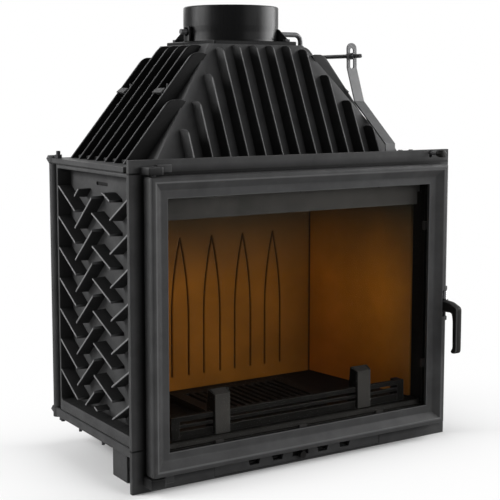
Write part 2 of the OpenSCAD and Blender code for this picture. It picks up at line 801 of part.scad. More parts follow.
module rocker_lever() {
    arm_r = 3.2;
    path = [[rocker_y, rocker_z], strap_low, strap_mid, strap_up, strap_top];
    color(steel) difference() {
        union() {
            rod_x(strap_x - strap_w / 2, knob_x + 6, rocker_y, rocker_z, rocker_r);
            intersection() {
                across(strap_x - strap_w / 2, strap_x + strap_w / 2) polygon(band(path, strap_t));
                union() {
                    rod_y(strap_x, 0, collar_y, strap_top[1] - strap_w / 2, strap_w / 2);
                    slab(strap_x - strap_w, strap_x + strap_w, 0, collar_y, 0, strap_top[1] - strap_w / 2);
                }
            }
            rod_x(strap_x - strap_w / 2, strap_x + strap_w / 2, rocker_y, rocker_z, 6);
            rod_y(knob_x, -knob_y + 2, rocker_y, rocker_z, arm_r);
        }
        for (z = strap_slot_z) rod_y(strap_x, rocker_y + 80, collar_y, z, slot_r);
        slab(strap_x - slot_r, strap_x + slot_r, rocker_y + 80, collar_y, strap_slot_z[0], strap_slot_z[1]);
    }
}

module control_knob() {
    color(iron_dark) difference() {
        union() {
            hex_y(knob_x, -knob_y - knob_len / 2, -knob_y + knob_len / 2, rocker_z, knob_r);
            rod_y(knob_x, -knob_y + knob_len / 2 - 1, -knob_y + knob_len / 2 + 4, rocker_z, knob_r - 2.5);
        }
        rod_y(knob_x, -knob_y + 2 - seat, -knob_y + knob_len, rocker_z, 3.2 + run_fit);
    }
}

// fire chamber
module back_liner() {
    x = chamber_back + 6;
    color(ochre) difference() {
        slab(-x, x, liner_y, back_y - seat, liner_z0, liner_top);
        for (k = [-2:2]) translate([k * lancet_pitch, 0, 0]) along(liner_y - 1, liner_y + 4) difference() {
            lancet(lancet_w, floor_z + lancet_h, liner_z0 + 25);
            lancet(lancet_w - 3, floor_z + lancet_h - 15, liner_z0 + 28);
        }
    }
}

// pointed outline whose legs bend as a parabola over the upper 165 mm and then run straight down
module lancet(half, top, foot) {
    leg = [for (t = [0.2:0.2:1]) [half * (1 - (1 - t) * (1 - t)), top - 165 * t]];
    polygon(concat([[0, top]], leg, [[half, foot], [-half, foot]], [for (k = [4:-1:0]) [-leg[k][0], leg[k][1]]]));
}

// half width of the chamber between the side liners at depth y
function chamber_x(y) = chamber_front + (chamber_back - chamber_front) * (y - liner_front) / (liner_y - liner_front);

module side_liners() {
    y0 = liner_front;
    y1 = liner_y - seat;
    color(ochre) both_sides() translate([0, 0, liner_z0]) linear_extrude(liner_top - liner_z0)
        polygon([[-chamber_front, y0], [-chamber_back, y1], [-chamber_back - liner_t, y1],
                 [-chamber_front - liner_t, y0]]);
}

module lintel() {
    color(iron) union() {
        slab(-chamber_front + 4, chamber_front - 4, frame_t + 8, frame_t + 20, open_z1 - 44, open_z1 - seat);
        slab(-open_w / 2 + seat, open_w / 2 - seat, frame_t + 8, frame_t + 20, open_z1 - 20, open_z1 - seat);
    }
}

module baffle() {
    y0 = 130;
    y1 = back_y - 1;
    x0 = chamber_x(y0) + liner_t - 3;
    x1 = chamber_x(y1) + liner_t - 3;
    color(ochre) translate([0, 0, liner_top + seat]) difference() {
        linear_extrude(14) polygon([[-x0, y0], [x0, y0], [x1, y1], [-x1, y1]]);
        for (k = [-4:4]) slab(k * 50 - 3, k * 50 + 3, 150, 300, 8, 15);
    }
}

module fire_grate() {
    color(iron_dark) translate([0, 0, floor_z + seat]) difference() {
        slab(-grate_w / 2, grate_w / 2, grate_y - grate_d / 2, grate_y + grate_d / 2, 0, 12);
        for (k = [-6:6]) slab(k * grate_w / 15.53 - 5, k * grate_w / 15.53 + 5,
                              grate_y - grate_d / 2 + 16, grate_y + grate_d / 2 - 16, -1, 13);
    }
}

module log_retainer() {
    y0 = retainer_y;
    x = chamber_front - retainer_in;
    color(iron_dark) union() {
        slab(-x, x, y0, y0 + 8, retainer_top - 9, retainer_top);
        slab(-x, x, y0 + 1, y0 + 7, retainer_top - 21, retainer_top - 15);
        slab(-x, x, y0 + 1, y0 + 7, floor_z + seat, retainer_top - 27);
        for (s = [-1, 1]) {
            slab(s * (x - 8) - 8, s * (x - 8) + 8, y0, y0 + 22, floor_z + seat, retainer_top);
            intersection() {
                across(s * upright_x - upright_w, s * upright_x + upright_w)
                    polygon([[y0 - 5, floor_z + seat], [y0 - 4, upright_top], [y0 + 14, upright_top + 7],
                             [y0 + 22, floor_z + seat]]);
                linear_extrude(upright_top + 20) polygon([for (p = [[-1, -5], [-1.2, 0], [-1.45, 22], [1.45, 22], [1.2, 0], [1, -5]])
                    [s * upright_x + p[0] * upright_w / 2, y0 + p[1]]]);
            }
        }
    }
}

// door
module hinge_lug(z0, z1, lift) {
    x0 = hinge_x - lug_w / 2;
    x1 = x0 + lug_w;
    translate([0, 0, z0]) linear_extrude(z1 - z0)
        polygon([[x0, 0], [x0, door_yf], [x1 - 4, door_yf], [x1, door_yf + 4], [x1, 0]]);
    slab(x1 - 1, x1 + 27, -7, 0, z0 + lift, z1 + lift);
}

module hinge_lugs() {
    color(iron) difference() {
        union() {
            hinge_lug(door_z1 + 3, door_z1 + 16, 2.5);
            hinge_lug(door_z0 - 18, door_z0 - 1, -2.5);
        }
        rod_z(hinge_x, hinge_y, door_z0 - 19, door_z0, pin_r + run_fit);
        rod_z(hinge_x, hinge_y, door_z1, door_z1 + 17, pin_r + run_fit);
    }
}

module hinge_pins() {
    color(steel) {
        rod_z(hinge_x, hinge_y, door_z1 - 22, door_z1 + 17, pin_r);
        rod_z(hinge_x, hinge_y, door_z0 - 18, door_z0 + 20, pin_r);
        rod_z(hinge_x, hinge_y, door_z0 - 1, door_z0 - seat, pin_r + 3);
    }
}

// the door's outer border as seen along one axis: width a..b across, rounded at its front corners
module rounded_front(a, b) {
    r = 4.5;
    union() {
        translate([a + r, door_yf]) square([b - a - 2 * r, door_d]);
        translate([a, door_yf + r]) square([b - a, door_d - r]);
        for (p = [a + r, b - r]) translate([p, door_yf + r]) circle(r);
    }
}

module taper(a, b, inset, y0, y1, grow) {
    polygon([[a + inset, y0], [b - inset, y0], [b - inset - grow, y1], [a + inset + grow, y1]]);
}

module door_frame() {
    e = 0.4;
    slope = bevel_w / bevel_d;
    color(iron) difference() {
        union() {
            intersection() {
                translate([0, 0, door_z0]) linear_extrude(door_h) rounded_front(-door_x, door_x);
                rotate([90, 0, 90]) translate([0, 0, -door_x]) linear_extrude(door_w)
                    mirror([1, -1]) rounded_front(door_z0, door_z1);
            }
            for (z = [notch_z0 - 8, notch_z1]) rod_z(handle_x, handle_y, z, z + 8, handle_pin_r + 2);
        }
        intersection() {
            translate([0, 0, door_z0]) linear_extrude(door_h)
                taper(-door_x, door_x, border_w - e * slope, door_yf - e, inner_yf, bevel_w + e * slope);
            rotate([90, 0, 90]) translate([0, 0, -door_x]) linear_extrude(door_w)
                mirror([1, -1]) taper(door_z0, door_z1, border_w - e * slope, door_yf - e, inner_yf, bevel_w + e * slope);
        }
        slab(-door_x + glass_in, door_x - glass_in, door_yf, 0, door_z0 + glass_in, door_z1 - glass_in);
        slab(-door_x + seat_in, door_x - seat_in, inner_yf + lip_t, 0, door_z0 + seat_in, door_z1 - seat_in);
        difference() {
            slab(-door_x + 15, door_x - 15, door_yb - 4, 0, door_z0 + 15, door_z1 - 15);
            slab(-door_x + 23, door_x - 23, door_yb - 5, 1, door_z0 + 23, door_z1 - 23);
        }
        rod_z(hinge_x, hinge_y, door_z0 - 1, door_z0 + 22, pin_r + run_fit);
        rod_z(hinge_x, hinge_y, door_z1 - 24, door_z1 + 1, pin_r + run_fit);
        slab(handle_x - 10.5, handle_x + 12, door_yf - 1, door_yb + 1, notch_z0, notch_z1);
        rod_z(handle_x, handle_y, notch_z0 - 6.3, notch_z1 + 6.3, handle_pin_r + run_fit);
        for (p = clip_points()) rod_y(p[0], door_yb - 9, 1, p[1], 2.1);
    }
}

module door_rope() {
    color([0.3, 0.29, 0.27]) difference() {
        slab(-door_x + 15.4, door_x - 15.4, door_yb - 3.7, -seat, door_z0 + 15.4, door_z1 - 15.4);
        slab(-door_x + 22.6, door_x - 22.6, door_yb - 5, 1, door_z0 + 22.6, door_z1 - 22.6);
    }
}

module glass_gasket() {
    a = seat_in + 1;
    b = glass_in - 1;
    color([0.25, 0.25, 0.24]) difference() {
        slab(-door_x + a, door_x - a, inner_yf + lip_t, glass_y0 - 0.1, door_z0 + a, door_z1 - a);
        slab(-door_x + b, door_x - b, inner_yf, glass_y0 + 1, door_z0 + b, door_z1 - b);
    }
}

module door_glass() {
    a = seat_in + 1;
    color([0.1, 0.1, 0.11, 0.35]) slab(-door_x + a, door_x - a, glass_y0, glass_y0 + glass_t, door_z0 + a, door_z1 - a);
}

function clip_points() = concat(
    [for (x = [-door_x * 0.5538, 0, door_x * 0.5538], z = [door_z0 + 26.5, door_z1 - 26.5]) [x, z]],
    [for (x = [-door_x + 26.5, door_x - 26.5], z = [door_z0 + 120, door_z1 - 120]) [x, z]]);

module glass_clips() {
    y0 = glass_y0 + glass_t + 0.2;
    color(steel) for (p = clip_points()) {
        side = abs(p[0]) > door_x * 0.8;
        dx = side ? (p[0] > 0 ? -1 : 1) : 0;
        dz = side ? 0 : (p[1] > (door_z0 + door_z1) / 2 ? -1 : 1);
        difference() {
            union() {
                translate([p[0] + dx * 5.5, door_yb + 1.1, p[1] + dz * 5.5])
                    cube([side ? 17 : 16, 1.8, side ? 16 : 17], center = true);
                translate([p[0] + dx * 11, (y0 + door_yb + 2) / 2, p[1] + dz * 11])
                    cube([side ? 6 : 16, door_yb + 2 - y0, side ? 16 : 6], center = true);
            }
            rod_y(p[0], door_yb - 1, 1, p[1], 2.2);
        }
    }
}

module clip_screws() {
    color(steel) for (p = clip_points()) {
        rod_y(p[0], door_yb - 8, door_yb + 2.2, p[1], 2);
        rod_y(p[0], door_yb + 2.1, door_yb + 3.4, p[1], 3.4);
    }
}

module handle_pin() {
    color(steel) rod_z(handle_x, handle_y, notch_z0 - 6, notch_z1 + 6, handle_pin_r);
}

module door_handle() {
    z0 = handle_z - hub_h / 2;
    z1 = handle_z + hub_h / 2;
    yg = door_yf - grip_reach;
    x0 = handle_x - grip_w / 2 - 1;
    color(iron_dark) difference() {
        union() {
            rod_z(handle_x, handle_y, z0, z1, hub_r);
            across(x0, x0 + grip_w)
                polygon([[handle_y, z0 + 3], [handle_y - 8, z0 + 1], [yg + 18, z0 + 2], [yg + 15, z0 - 2], [yg + 13, z0 - 12],
                         [yg + 12, z0 - grip_l + 22], [yg + 16, z0 - grip_l + 17], [yg + 16.5, z0 - grip_l + 13],
                         [yg + 12, z0 - grip_l + 11], [yg + 3, z0 - grip_l + 13], [yg, z0 - grip_l + 18],
                         [yg, z1 - 12], [yg + 3, z1 - 8], [yg + 22, z1 - 1], [handle_y - 7, z1], [handle_y, z1]]);
            slab(handle_x - 1, handle_x + 4, handle_y, handle_y + nose_y - seat, z0 + 2, z1 - 2);
            slab(handle_x + 0.5, handle_x + 2.5, handle_y, handle_y + nose_y + nose_t + 0.4, z0 + 7, z1 - 7);
        }
        rod_z(handle_x, handle_y, z0 - 1, z1 + 1, handle_pin_r + run_fit);
    }
}

// the finger that turns in behind the catch, riveted on the handle's tenon
module latch_finger() {
    z0 = handle_z - hub_h / 2;
    z1 = handle_z + hub_h / 2;
    color(steel) difference() {
        slab(handle_x - 1, handle_x + nose_x, handle_y + nose_y, handle_y + nose_y + nose_t, z0 + 2, z1 - 2);
        slab(handle_x + 0.5 - run_fit, handle_x + 2.5 + run_fit, handle_y + nose_y - 1, handle_y + nose_y + nose_t + 1,
             z0 + 7 - run_fit, z1 - 7 + run_fit);
    }
}

// wire of the handle spring: a helix round the pin whose ends run straight along the pin
tail = 2 * wire_r;
coil_z0 = handle_z + hub_h / 2 + seat + tail;
coil_z1 = notch_z1 - seat - tail;
coil_steps = 8 * spring_curls;
function coil_point(i) = let(a = i * 45) [handle_x + spring_r * cos(a), handle_y + spring_r * sin(a),
                                          coil_z0 + (coil_z1 - coil_z0) * i / coil_steps];
// "lift" turns the ring from lying flat (0) through the mitre (1) to standing upright (2)
function wire_ring(c, a, lift) = let(er = [cos(a), sin(a), 0], et = [-sin(a), cos(a), 0],
    n = lift == 0 ? et : lift == 1 ? et - [0, 0, 1] : [0, 0, -1])
    [for (j = [0:5]) c + wire_r * (er * cos(j * 60) + n * sin(j * 60))];
// least distance between wire surfaces of points at least three quarters of a turn apart
spring_gap = min([for (i = [0:coil_steps - 6], j = [i + 6:coil_steps])
    norm(coil_point(i) - coil_point(j)) - 2 * wire_r]);
echo(spring_gap_mm = spring_gap);

module handle_spring() {
    n = coil_steps;
    rings = concat([wire_ring(coil_point(0) - [0, 0, tail], 0, 0), wire_ring(coil_point(0), 0, 1)],
                   [for (i = [1:n - 1]) wire_ring(coil_point(i), i * 45, 2)],
                   [wire_ring(coil_point(n), 0, 1), wire_ring(coil_point(n) + [0, 0, tail], 0, 0)]);
    last = len(rings) - 1;
    color([0.45, 0.45, 0.46]) polyhedron([for (ring = rings, p = ring) p], concat(
        [for (j = [1:4]) [0, j, j + 1]],
        [for (j = [1:4]) [last * 6, last * 6 + j + 1, last * 6 + j]],
        [for (i = [0:last - 1], j = [0:5]) [i * 6 + j, (i + 1) * 6 + j, i * 6 + (j + 1) % 6]],
        [for (i = [0:last - 1], j = [0:5]) [i * 6 + (j + 1) % 6, (i + 1) * 6 + j, (i + 1) * 6 + (j + 1) % 6]]));
}

// screw heights of the catch, above and below the nose
function catch_z() = [handle_z - hub_h / 2 - 6, handle_z + hub_h / 2 + 6];

// the nose of the handle stands just beside the catch's lip and turns in behind it
module latch_catch() {
    z0 = handle_z - hub_h / 2 + 1;
    z1 = handle_z + hub_h / 2 - 1;
    x0 = handle_x + nose_x + lip_gap;
    x1 = handle_x + 17;
    lip_y = handle_y + nose_y - 2.2;
    color(steel) difference() {
        union() {
            slab(x0, x1, lip_y - 3, lip_y, z0, z1);
            slab(x1 - 4, x1, lip_y - 3, 0, z0, z1);
            slab(x0, x1, -2.5, 0, z0 - 14, z1 + 14);
        }
        for (z = catch_z()) rod_y(handle_x + 11.7, -3, 1, z, 2.6);
    }
}

module catch_screws() {
    color(steel) for (z = catch_z()) {
        rod_y(handle_x + 11.7, -4, 6, z, 2.5);
        rod_y(handle_x + 11.7, -5, -2.5 - seat, z, 4.2);
    }
}

front_frame();
air_panel();
air_panel_screws();
air_slider();
base_plate();
top_plate();
side_panel_left();
side_panel_right();
back_plate();
front_feet();
rear_feet();
air_plenum();
ash_pan();
tie_rods();
tie_rod_nuts();
corner_bolts();
base_studs();
smoke_hood();
hood_bolts();
lifting_lugs();
flue_collar();
collar_bolts();
damper_shaft();
damper_plate();
link_rod();
link_nuts();
rocker_brackets();
rocker_lever();
control_knob();
back_liner();
side_liners();
lintel();
baffle();
fire_grate();
log_retainer();
hinge_lugs();
hinge_pins();
latch_catch();
catch_screws();
door_frame();
door_rope();
glass_gasket();
door_glass();
glass_clips();
clip_screws();
handle_pin();
door_handle();
handle_spring();
latch_finger();
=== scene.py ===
"""Dresses the cast iron fireplace insert: castings, door, hood, flue collar, fire chamber and studio.

Lengths of pieces are millimetres in the part's own frame (X right, front faces -Y, Z up, floor at 0), and
meshes are written in metres; places in finishes and in the studio are metres. New surfaces are worked out as
whole numpy arrays: loops of points that are joined ring by ring, profiles carried along a path, or a depth
worked out on a grid.
"""

import logging
import math
from dataclasses import dataclass, field
from enum import Enum
from typing import Iterable, Sequence

import bmesh
import bpy
import numpy as np
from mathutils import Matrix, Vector


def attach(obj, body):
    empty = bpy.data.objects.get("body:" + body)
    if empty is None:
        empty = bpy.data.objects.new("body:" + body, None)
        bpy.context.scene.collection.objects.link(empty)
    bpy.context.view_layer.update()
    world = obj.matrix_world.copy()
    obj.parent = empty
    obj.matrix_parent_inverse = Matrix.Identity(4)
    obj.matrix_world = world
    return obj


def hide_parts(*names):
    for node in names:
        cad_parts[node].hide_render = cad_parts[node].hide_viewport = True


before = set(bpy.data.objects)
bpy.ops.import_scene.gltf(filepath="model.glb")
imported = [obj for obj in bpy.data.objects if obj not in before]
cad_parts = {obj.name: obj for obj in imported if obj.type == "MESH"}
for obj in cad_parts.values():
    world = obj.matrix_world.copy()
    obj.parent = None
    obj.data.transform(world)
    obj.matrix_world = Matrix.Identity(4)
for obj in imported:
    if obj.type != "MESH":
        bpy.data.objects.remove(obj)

log = logging.getLogger("insert")
MM = 0.001
Array = np.ndarray
Socket = bpy.types.NodeSocket
Pair = tuple[float, float]
Triple = tuple[float, float, float]


class Body(str, Enum):
    """The rigid bodies that the new pieces ride on."""

    FIREBOX = "firebox"
    DOOR = "door"
    HANDLE = "handle"
    ROCKER = "rocker"


class Slot(str, Enum):
    """The record's material slots."""

    SHELL = "shell_iron"
    DARK = "dark_iron"
    BLACK = "black_steel"
    SPRING = "spring_steel"
    LINING = "chamber_lining"
    ROPE = "sealing_rope"


# ---- meshes --------------------------------------------------------------------------------------------


@dataclass
class Shape:
    """Vertices in millimetres, faces as lists of vertex numbers, and a (shade, rub) pair for each vertex.

    Shade is how far a place is darkened, mostly as painted shade in recesses and gaps, rub how far it is
    lightened as wear and painted highlight, both from 0 to 1.
    """

    verts: Array = field(default_factory=lambda: np.zeros((0, 3)))
    faces: list[list[int]] = field(default_factory=list)
    tint: Array = field(default_factory=lambda: np.zeros((0, 2)))

    def __post_init__(self) -> None:
        """Leaves a shape without tints clean all over."""
        if len(self.tint) != len(self.verts):
            self.tint = np.zeros((len(self.verts), 2))

    def add(self, other: "Shape") -> "Shape":
        """Appends another shape and returns self.

        Args:
            other: the shape whose vertices and faces are appended.

        Returns:
            This shape, now holding both.
        """
        start = len(self.verts)
        self.verts = np.vstack([self.verts, other.verts])
        self.tint = np.vstack([self.tint, other.tint])
        self.faces += [[i + start for i in f] for f in other.faces]
        return self

    def mirrored(self) -> "Shape":
        """The shape mirrored in the plane x = 0, with its faces turned round to point outwards again."""
        return Shape(self.verts * np.array([-1.0, 1.0, 1.0]), [f[::-1] for f in self.faces], self.tint)


def grid_faces(rows: int, cols: int, wrap_rows: bool = False, wrap_cols: bool = True) -> list[list[int]]:
    """Quads of a grid whose vertex (i, j) has number i * cols + j.

    Args:
        rows: number of rings.
        cols: number of points in a ring.
        wrap_rows: whether the last ring is joined to the first.
        wrap_cols: whether each ring is closed.

    Returns:
        The quads, each as four vertex numbers.
    """
    i = np.arange(rows if wrap_rows else rows - 1)[:, None]
    j = np.arange(cols if wrap_cols else cols - 1)[None, :]
    i2, j2 = (i + 1) % rows, (j + 1) % cols
    quads = np.stack(np.broadcast_arrays(i * cols + j, i * cols + j2, i2 * cols + j2, i2 * cols + j), axis=-1)
    return quads.reshape(-1, 4).tolist()


def loft(rings: Array, closed: bool = False, tint: Array | None = None) -> Shape:
    """Joins rings of equally many points, one after the other.

    Args:
        rings: array (rings, points, 3) in millimetres.
        closed: whether the last ring joins the first, as on a frame moulding; else both are filled.
        tint: (shade, rub) of each point, any array that spreads to (rings, points, 2).

    Returns:
        The closed shape.
    """
    n, m = rings.shape[:2]
    faces = grid_faces(n, m, closed)
    if not closed:
        faces += [list(range(m))[::-1], list(range((n - 1) * m, n * m))]
    spread = np.broadcast_to(0.0 if tint is None else tint, (n, m, 2))
    return Shape(rings.reshape(-1, 3).astype(float), faces, spread.reshape(-1, 2))


def soften(points: Sequence[Sequence[float]], radius: float | Sequence[float], steps: int = 3) -> Array:
    """Rounds each corner of a closed polygon with a quadratic arc.

    A corner p with neighbours a and b becomes the curve (1-t)^2 q + 2t(1-t) p + t^2 r, where q and r lie on
    the two sides at the radius, or at 0.45 of the side where that is shorter.

    Args:
        points: the polygon's corners.
        radius: one cut-back for all corners, or one for each.
        steps: number of segments of each arc.

    Returns:
        The rounded polygon as an array (corners * (steps + 1), 2).
    """
    longest = 0.45
    p = np.asarray(points, float)
    r = np.broadcast_to(np.asarray(radius, float), len(p))
    before, after = np.roll(p, 1, 0) - p, np.roll(p, -1, 0) - p
    lb, la = np.linalg.norm(before, axis=1), np.linalg.norm(after, axis=1)
    q = p + before / lb[:, None] * np.minimum(r, lb * longest)[:, None]
    s = p + after / la[:, None] * np.minimum(r, la * longest)[:, None]
    t = np.linspace(0, 1, steps + 1)[None, :, None]
    curve = (1 - t) ** 2 * q[:, None] + 2 * t * (1 - t) * p[:, None] + t**2 * s[:, None]
    return curve.reshape(-1, 2)


def shrink(outline: Array, amount: float) -> Array:
    """Moves each point of a closed polygon inwards along the mean normal of its two sides.

    Args:
        outline: array (n, 2).
        amount: distance in millimetres.

    Returns:
        The moved polygon, with the same number of points.
    """
    side = np.roll(outline, -1, 0) - outline
    length = np.maximum(np.linalg.norm(side, axis=1), 1e-9)[:, None]
    (x, y), (x2, y2) = outline.T, np.roll(outline, -1, 0).T
    area = 0.5 * np.sum(x * y2 - x2 * y)
    normal = np.stack([side[:, 1], -side[:, 0]], 1) / length * np.sign(area)
    mean = normal + np.roll(normal, 1, 0)
    mean /= np.maximum(np.linalg.norm(mean, axis=1), 1e-6)[:, None]
    return outline - mean * amount


class Plane(Enum):
    """Which two axes a plate's outline lies in; its thickness runs along the third."""

    XY = (0, 1, 2)
    XZ = (0, 2, 1)
    YZ = (1, 2, 0)


def plate(outline: Array, low: float, high: float, plane: Plane, edge: float = 1.0,
          shade: float = 0.0) -> Shape:
    """A plate with rounded rims: the outline at both faces is drawn in by the rim radius.

    Rings lie along a quarter circle at each rim, with inset e (1 - sin a) and height e (1 - cos a).

    Args:
        outline: closed polygon, array (n, 2).
        low: coordinate of one face.
        high: coordinate of the other face.
        plane: the plane of the outline.
        edge: rim radius.
        shade: how far painted shade darkens its faces; the rims are painted lighter, as wear and highlight.

    Returns:
        The closed plate.
    """
    # rims painted lighter as wear and highlight, faces darkened by painted shade
    a, rubbed_and_highlit = np.radians([0, 30, 60, 90]), 0.45
    tint = np.array([[shade, 0], [shade, rubbed_and_highlit], [shade, rubbed_and_highlit], [shade, 0]])
    inset = np.concatenate([edge * (1 - np.sin(a)), edge * (1 - np.sin(a[::-1]))])
    height = np.concatenate([low + edge * (1 - np.cos(a)), high - edge * (1 - np.cos(a[::-1]))])
    u, v, w = plane.value
    rings = np.zeros((len(inset), len(outline), 3))
    for k, (d, h) in enumerate(zip(inset, height)):
        rings[k, :, [u, v]] = shrink(outline, d).T
        rings[k, :, w] = h
    return loft(rings, tint=np.concatenate([tint, tint])[:, None])


def block(low: Sequence[float], high: Sequence[float], edge: float = 1.0) -> Shape:
    """A rectangular block with rounded edges: a plate whose outline has rounded corners.

    Args:
        low: lowest corner.
        high: highest corner.
        edge: radius of all edges.

    Returns:
        The closed block.
    """
    (x0, y0, z0), (x1, y1, z1) = low, high
    return plate(soften([[x0, y0], [x1, y0], [x1, y1], [x0, y1]], edge), z0, z1, Plane.XY, edge)


def turned(profile: Sequence[Sequence[float]], centre: Sequence[float], axis: int = 2, sides: int = 48,
           round_to: float = 0.0, hollow: bool = False) -> Shape:
    """A body of revolution: each profile point (r, h) becomes a ring of radius r at height h along the axis.

    Args:
        profile: (radius, height) pairs; a solid starts and ends on the axis, a hollow one closes on itself.
        centre: point where the axis passes height 0.
        axis: 0, 1 or 2 for an axis along X, Y or Z.
        sides: points on a ring; 6 gives a hexagon.
        round_to: how far the profile's corners are cut back on a hollow shape.
        hollow: whether the profile is a closed loop off the axis.

    Returns:
        The closed shape.
    """
    on_axis = 0.02
    p = soften(profile, round_to, 3) if hollow and round_to else np.asarray(profile, float)
    a = np.linspace(0, 2 * math.pi, sides, endpoint=False) + (math.pi / 6 if sides == 6 else 0)
    u, v = [(1, 2), (2, 0), (0, 1)][axis]
    rings = np.zeros((len(p), sides, 3)) + np.asarray(centre, float)
    rings[:, :, u] += np.maximum(p[:, :1], on_axis) * np.cos(a)
    rings[:, :, v] += np.maximum(p[:, :1], on_axis) * np.sin(a)
    rings[:, :, axis] += p[:, 1:]
    return loft(rings, closed=hollow)


def tube(path: Array, radius: float, sides: int) -> Shape:
    """Carries a circle along a path.

    The ring at a point is c + r (cos a * n + sin a * b), where n is the part of the last ring's n that is
    square to the tangent, and b is the tangent crossed with n.

    Args:
        path: array (n, 3).
        radius: tube radius.
        sides: points of the circle.

    Returns:
        The closed tube.
    """
    tangent = np.gradient(path, axis=0)
    tangent /= np.linalg.norm(tangent, axis=1)[:, None]
    n = np.cross(tangent[0], [0.3, 0.9, 0.2])
    a = np.linspace(0, 2 * math.pi, sides, endpoint=False)[:, None]
    rings = []
    for c, t in zip(path, tangent):
        n = n - t * np.dot(n, t)
        n /= np.linalg.norm(n)
        rings.append(c + radius * (np.cos(a) * n + np.sin(a) * np.cross(t, n)))
    return loft(np.array(rings))


def rect_loop(low: Sequence[float], high: Sequence[float], radius: float, steps: int = 4) -> Array:
    """A rectangle with rounded corners as a closed loop of 4 * (steps + 1) points.

    Args:
        low: lowest corner in the plane.
        high: highest corner in the plane.
        radius: corner radius.
        steps: segments of each corner.

    Returns:
        The loop as an array (n, 2), counter-clockwise.
    """
    r = max(radius, 0.01)
    a = np.radians(np.linspace(0, 90, steps + 1))
    centres = np.array([[high[0] - r, high[1] - r], [low[0] + r, high[1] - r],
                        [low[0] + r, low[1] + r], [high[0] - r, low[1] + r]])
    turns = a[None, :] + np.radians([0, 90, 180, 270])[:, None]
    arc = np.stack([np.cos(turns), np.sin(turns)], -1) * r
    return (centres[:, None] + arc).reshape(-1, 2)


def level(loop: Array, height: float) -> Array:
    """Gives every point of a flat loop the same third coordinate."""
    return np.column_stack([loop, np.full(len(loop), height)])


def stacked(rings: Iterable[tuple[Array, float]]) -> Shape:
    """Joins flat loops at their heights, and the last one to the first, as on a flange with a hole.

    Args:
        rings: pairs of a loop in the (x, y) plane and its height.

    Returns:
        The closed shape.
    """
    return loft(np.array([level(loop, height) for loop, height in rings]), closed=True)


def mark(mesh: bpy.types.Mesh, name: str, values: Array) -> None:
    """Stores a number for each vertex of a mesh under a name that a finish reads."""
    mesh.attributes.new(name, "FLOAT", "POINT").data.foreach_set("value", values.astype(np.float32))


def outlined(node: str, shape: Shape, finish: "Finish", body: Body = Body.FIREBOX,
             bevel: float = 0.0, smooth: float = 35.0, merge: bool = False,
             stands_for: Iterable[str] = ()) -> bpy.types.Object:
    """Makes a piece from a shape, finishes it and lets it ride on its body.

    Args:
        node: name of the piece.
        shape: its surface.
        finish: its material.
        body: the body that it rides on.
        bevel: width of a Bevel modifier, 0 for none.
        smooth: edges flatter than this many degrees are shaded smooth.
        merge: whether doubles are merged and collapsed faces removed.
        stands_for: the solids that the piece replaces.

    Returns:
        The finished object.
    """
    mesh = bpy.data.meshes.new(node)
    mesh.from_pydata((shape.verts * MM).tolist(), [], shape.faces)
    # each vertex's darkening, mostly painted shade, and lightening as wear and painted highlight
    for column, name in enumerate(("shade", "rub_and_highlight")):
        mark(mesh, name, shape.tint[:, column])
    bm = bmesh.new()
    bm.from_mesh(mesh)
    if merge:
        bmesh.ops.remove_doubles(bm, verts=bm.verts, dist=1e-6)
        bmesh.ops.dissolve_degenerate(bm, edges=bm.edges, dist=1e-6)
    bmesh.ops.recalc_face_normals(bm, faces=bm.faces)
    bm.to_mesh(mesh)
    bm.free()
    mesh.polygons.foreach_set("use_smooth", [True] * len(mesh.polygons))
    mesh.set_sharp_from_angle(angle=math.radians(smooth))
    piece = bpy.data.objects.new(node, mesh)
    bpy.context.scene.collection.objects.link(piece)
    mesh.materials.append(finish.material())
    if bevel:
        mod = piece.modifiers.new("edges", "BEVEL")
        mod.width, mod.segments, mod.limit_method = bevel * MM, 2, "ANGLE"
        mod.angle_limit, mod.use_clamp_overlap = math.radians(30), True
    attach(piece, body.value)
    if stands_for:
        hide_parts(*stands_for)
    log.info("made %s", node)
    return piece


def dress(node: str, finish: "Finish") -> None:
    """Gives a kept solid its finish.

    Args:
        node: the solid's name.
        finish: the finish that it gets.
    """
    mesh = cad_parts[node].data
    mesh.materials.clear()
    mesh.materials.append(finish.material())
    mesh.polygons.foreach_set("use_smooth", [True] * len(mesh.polygons))
    mesh.set_sharp_from_angle(angle=math.radians(30))
    log.info("dressed %s", node)


# ---- finishes ------------------------------------------------------------------------------------------


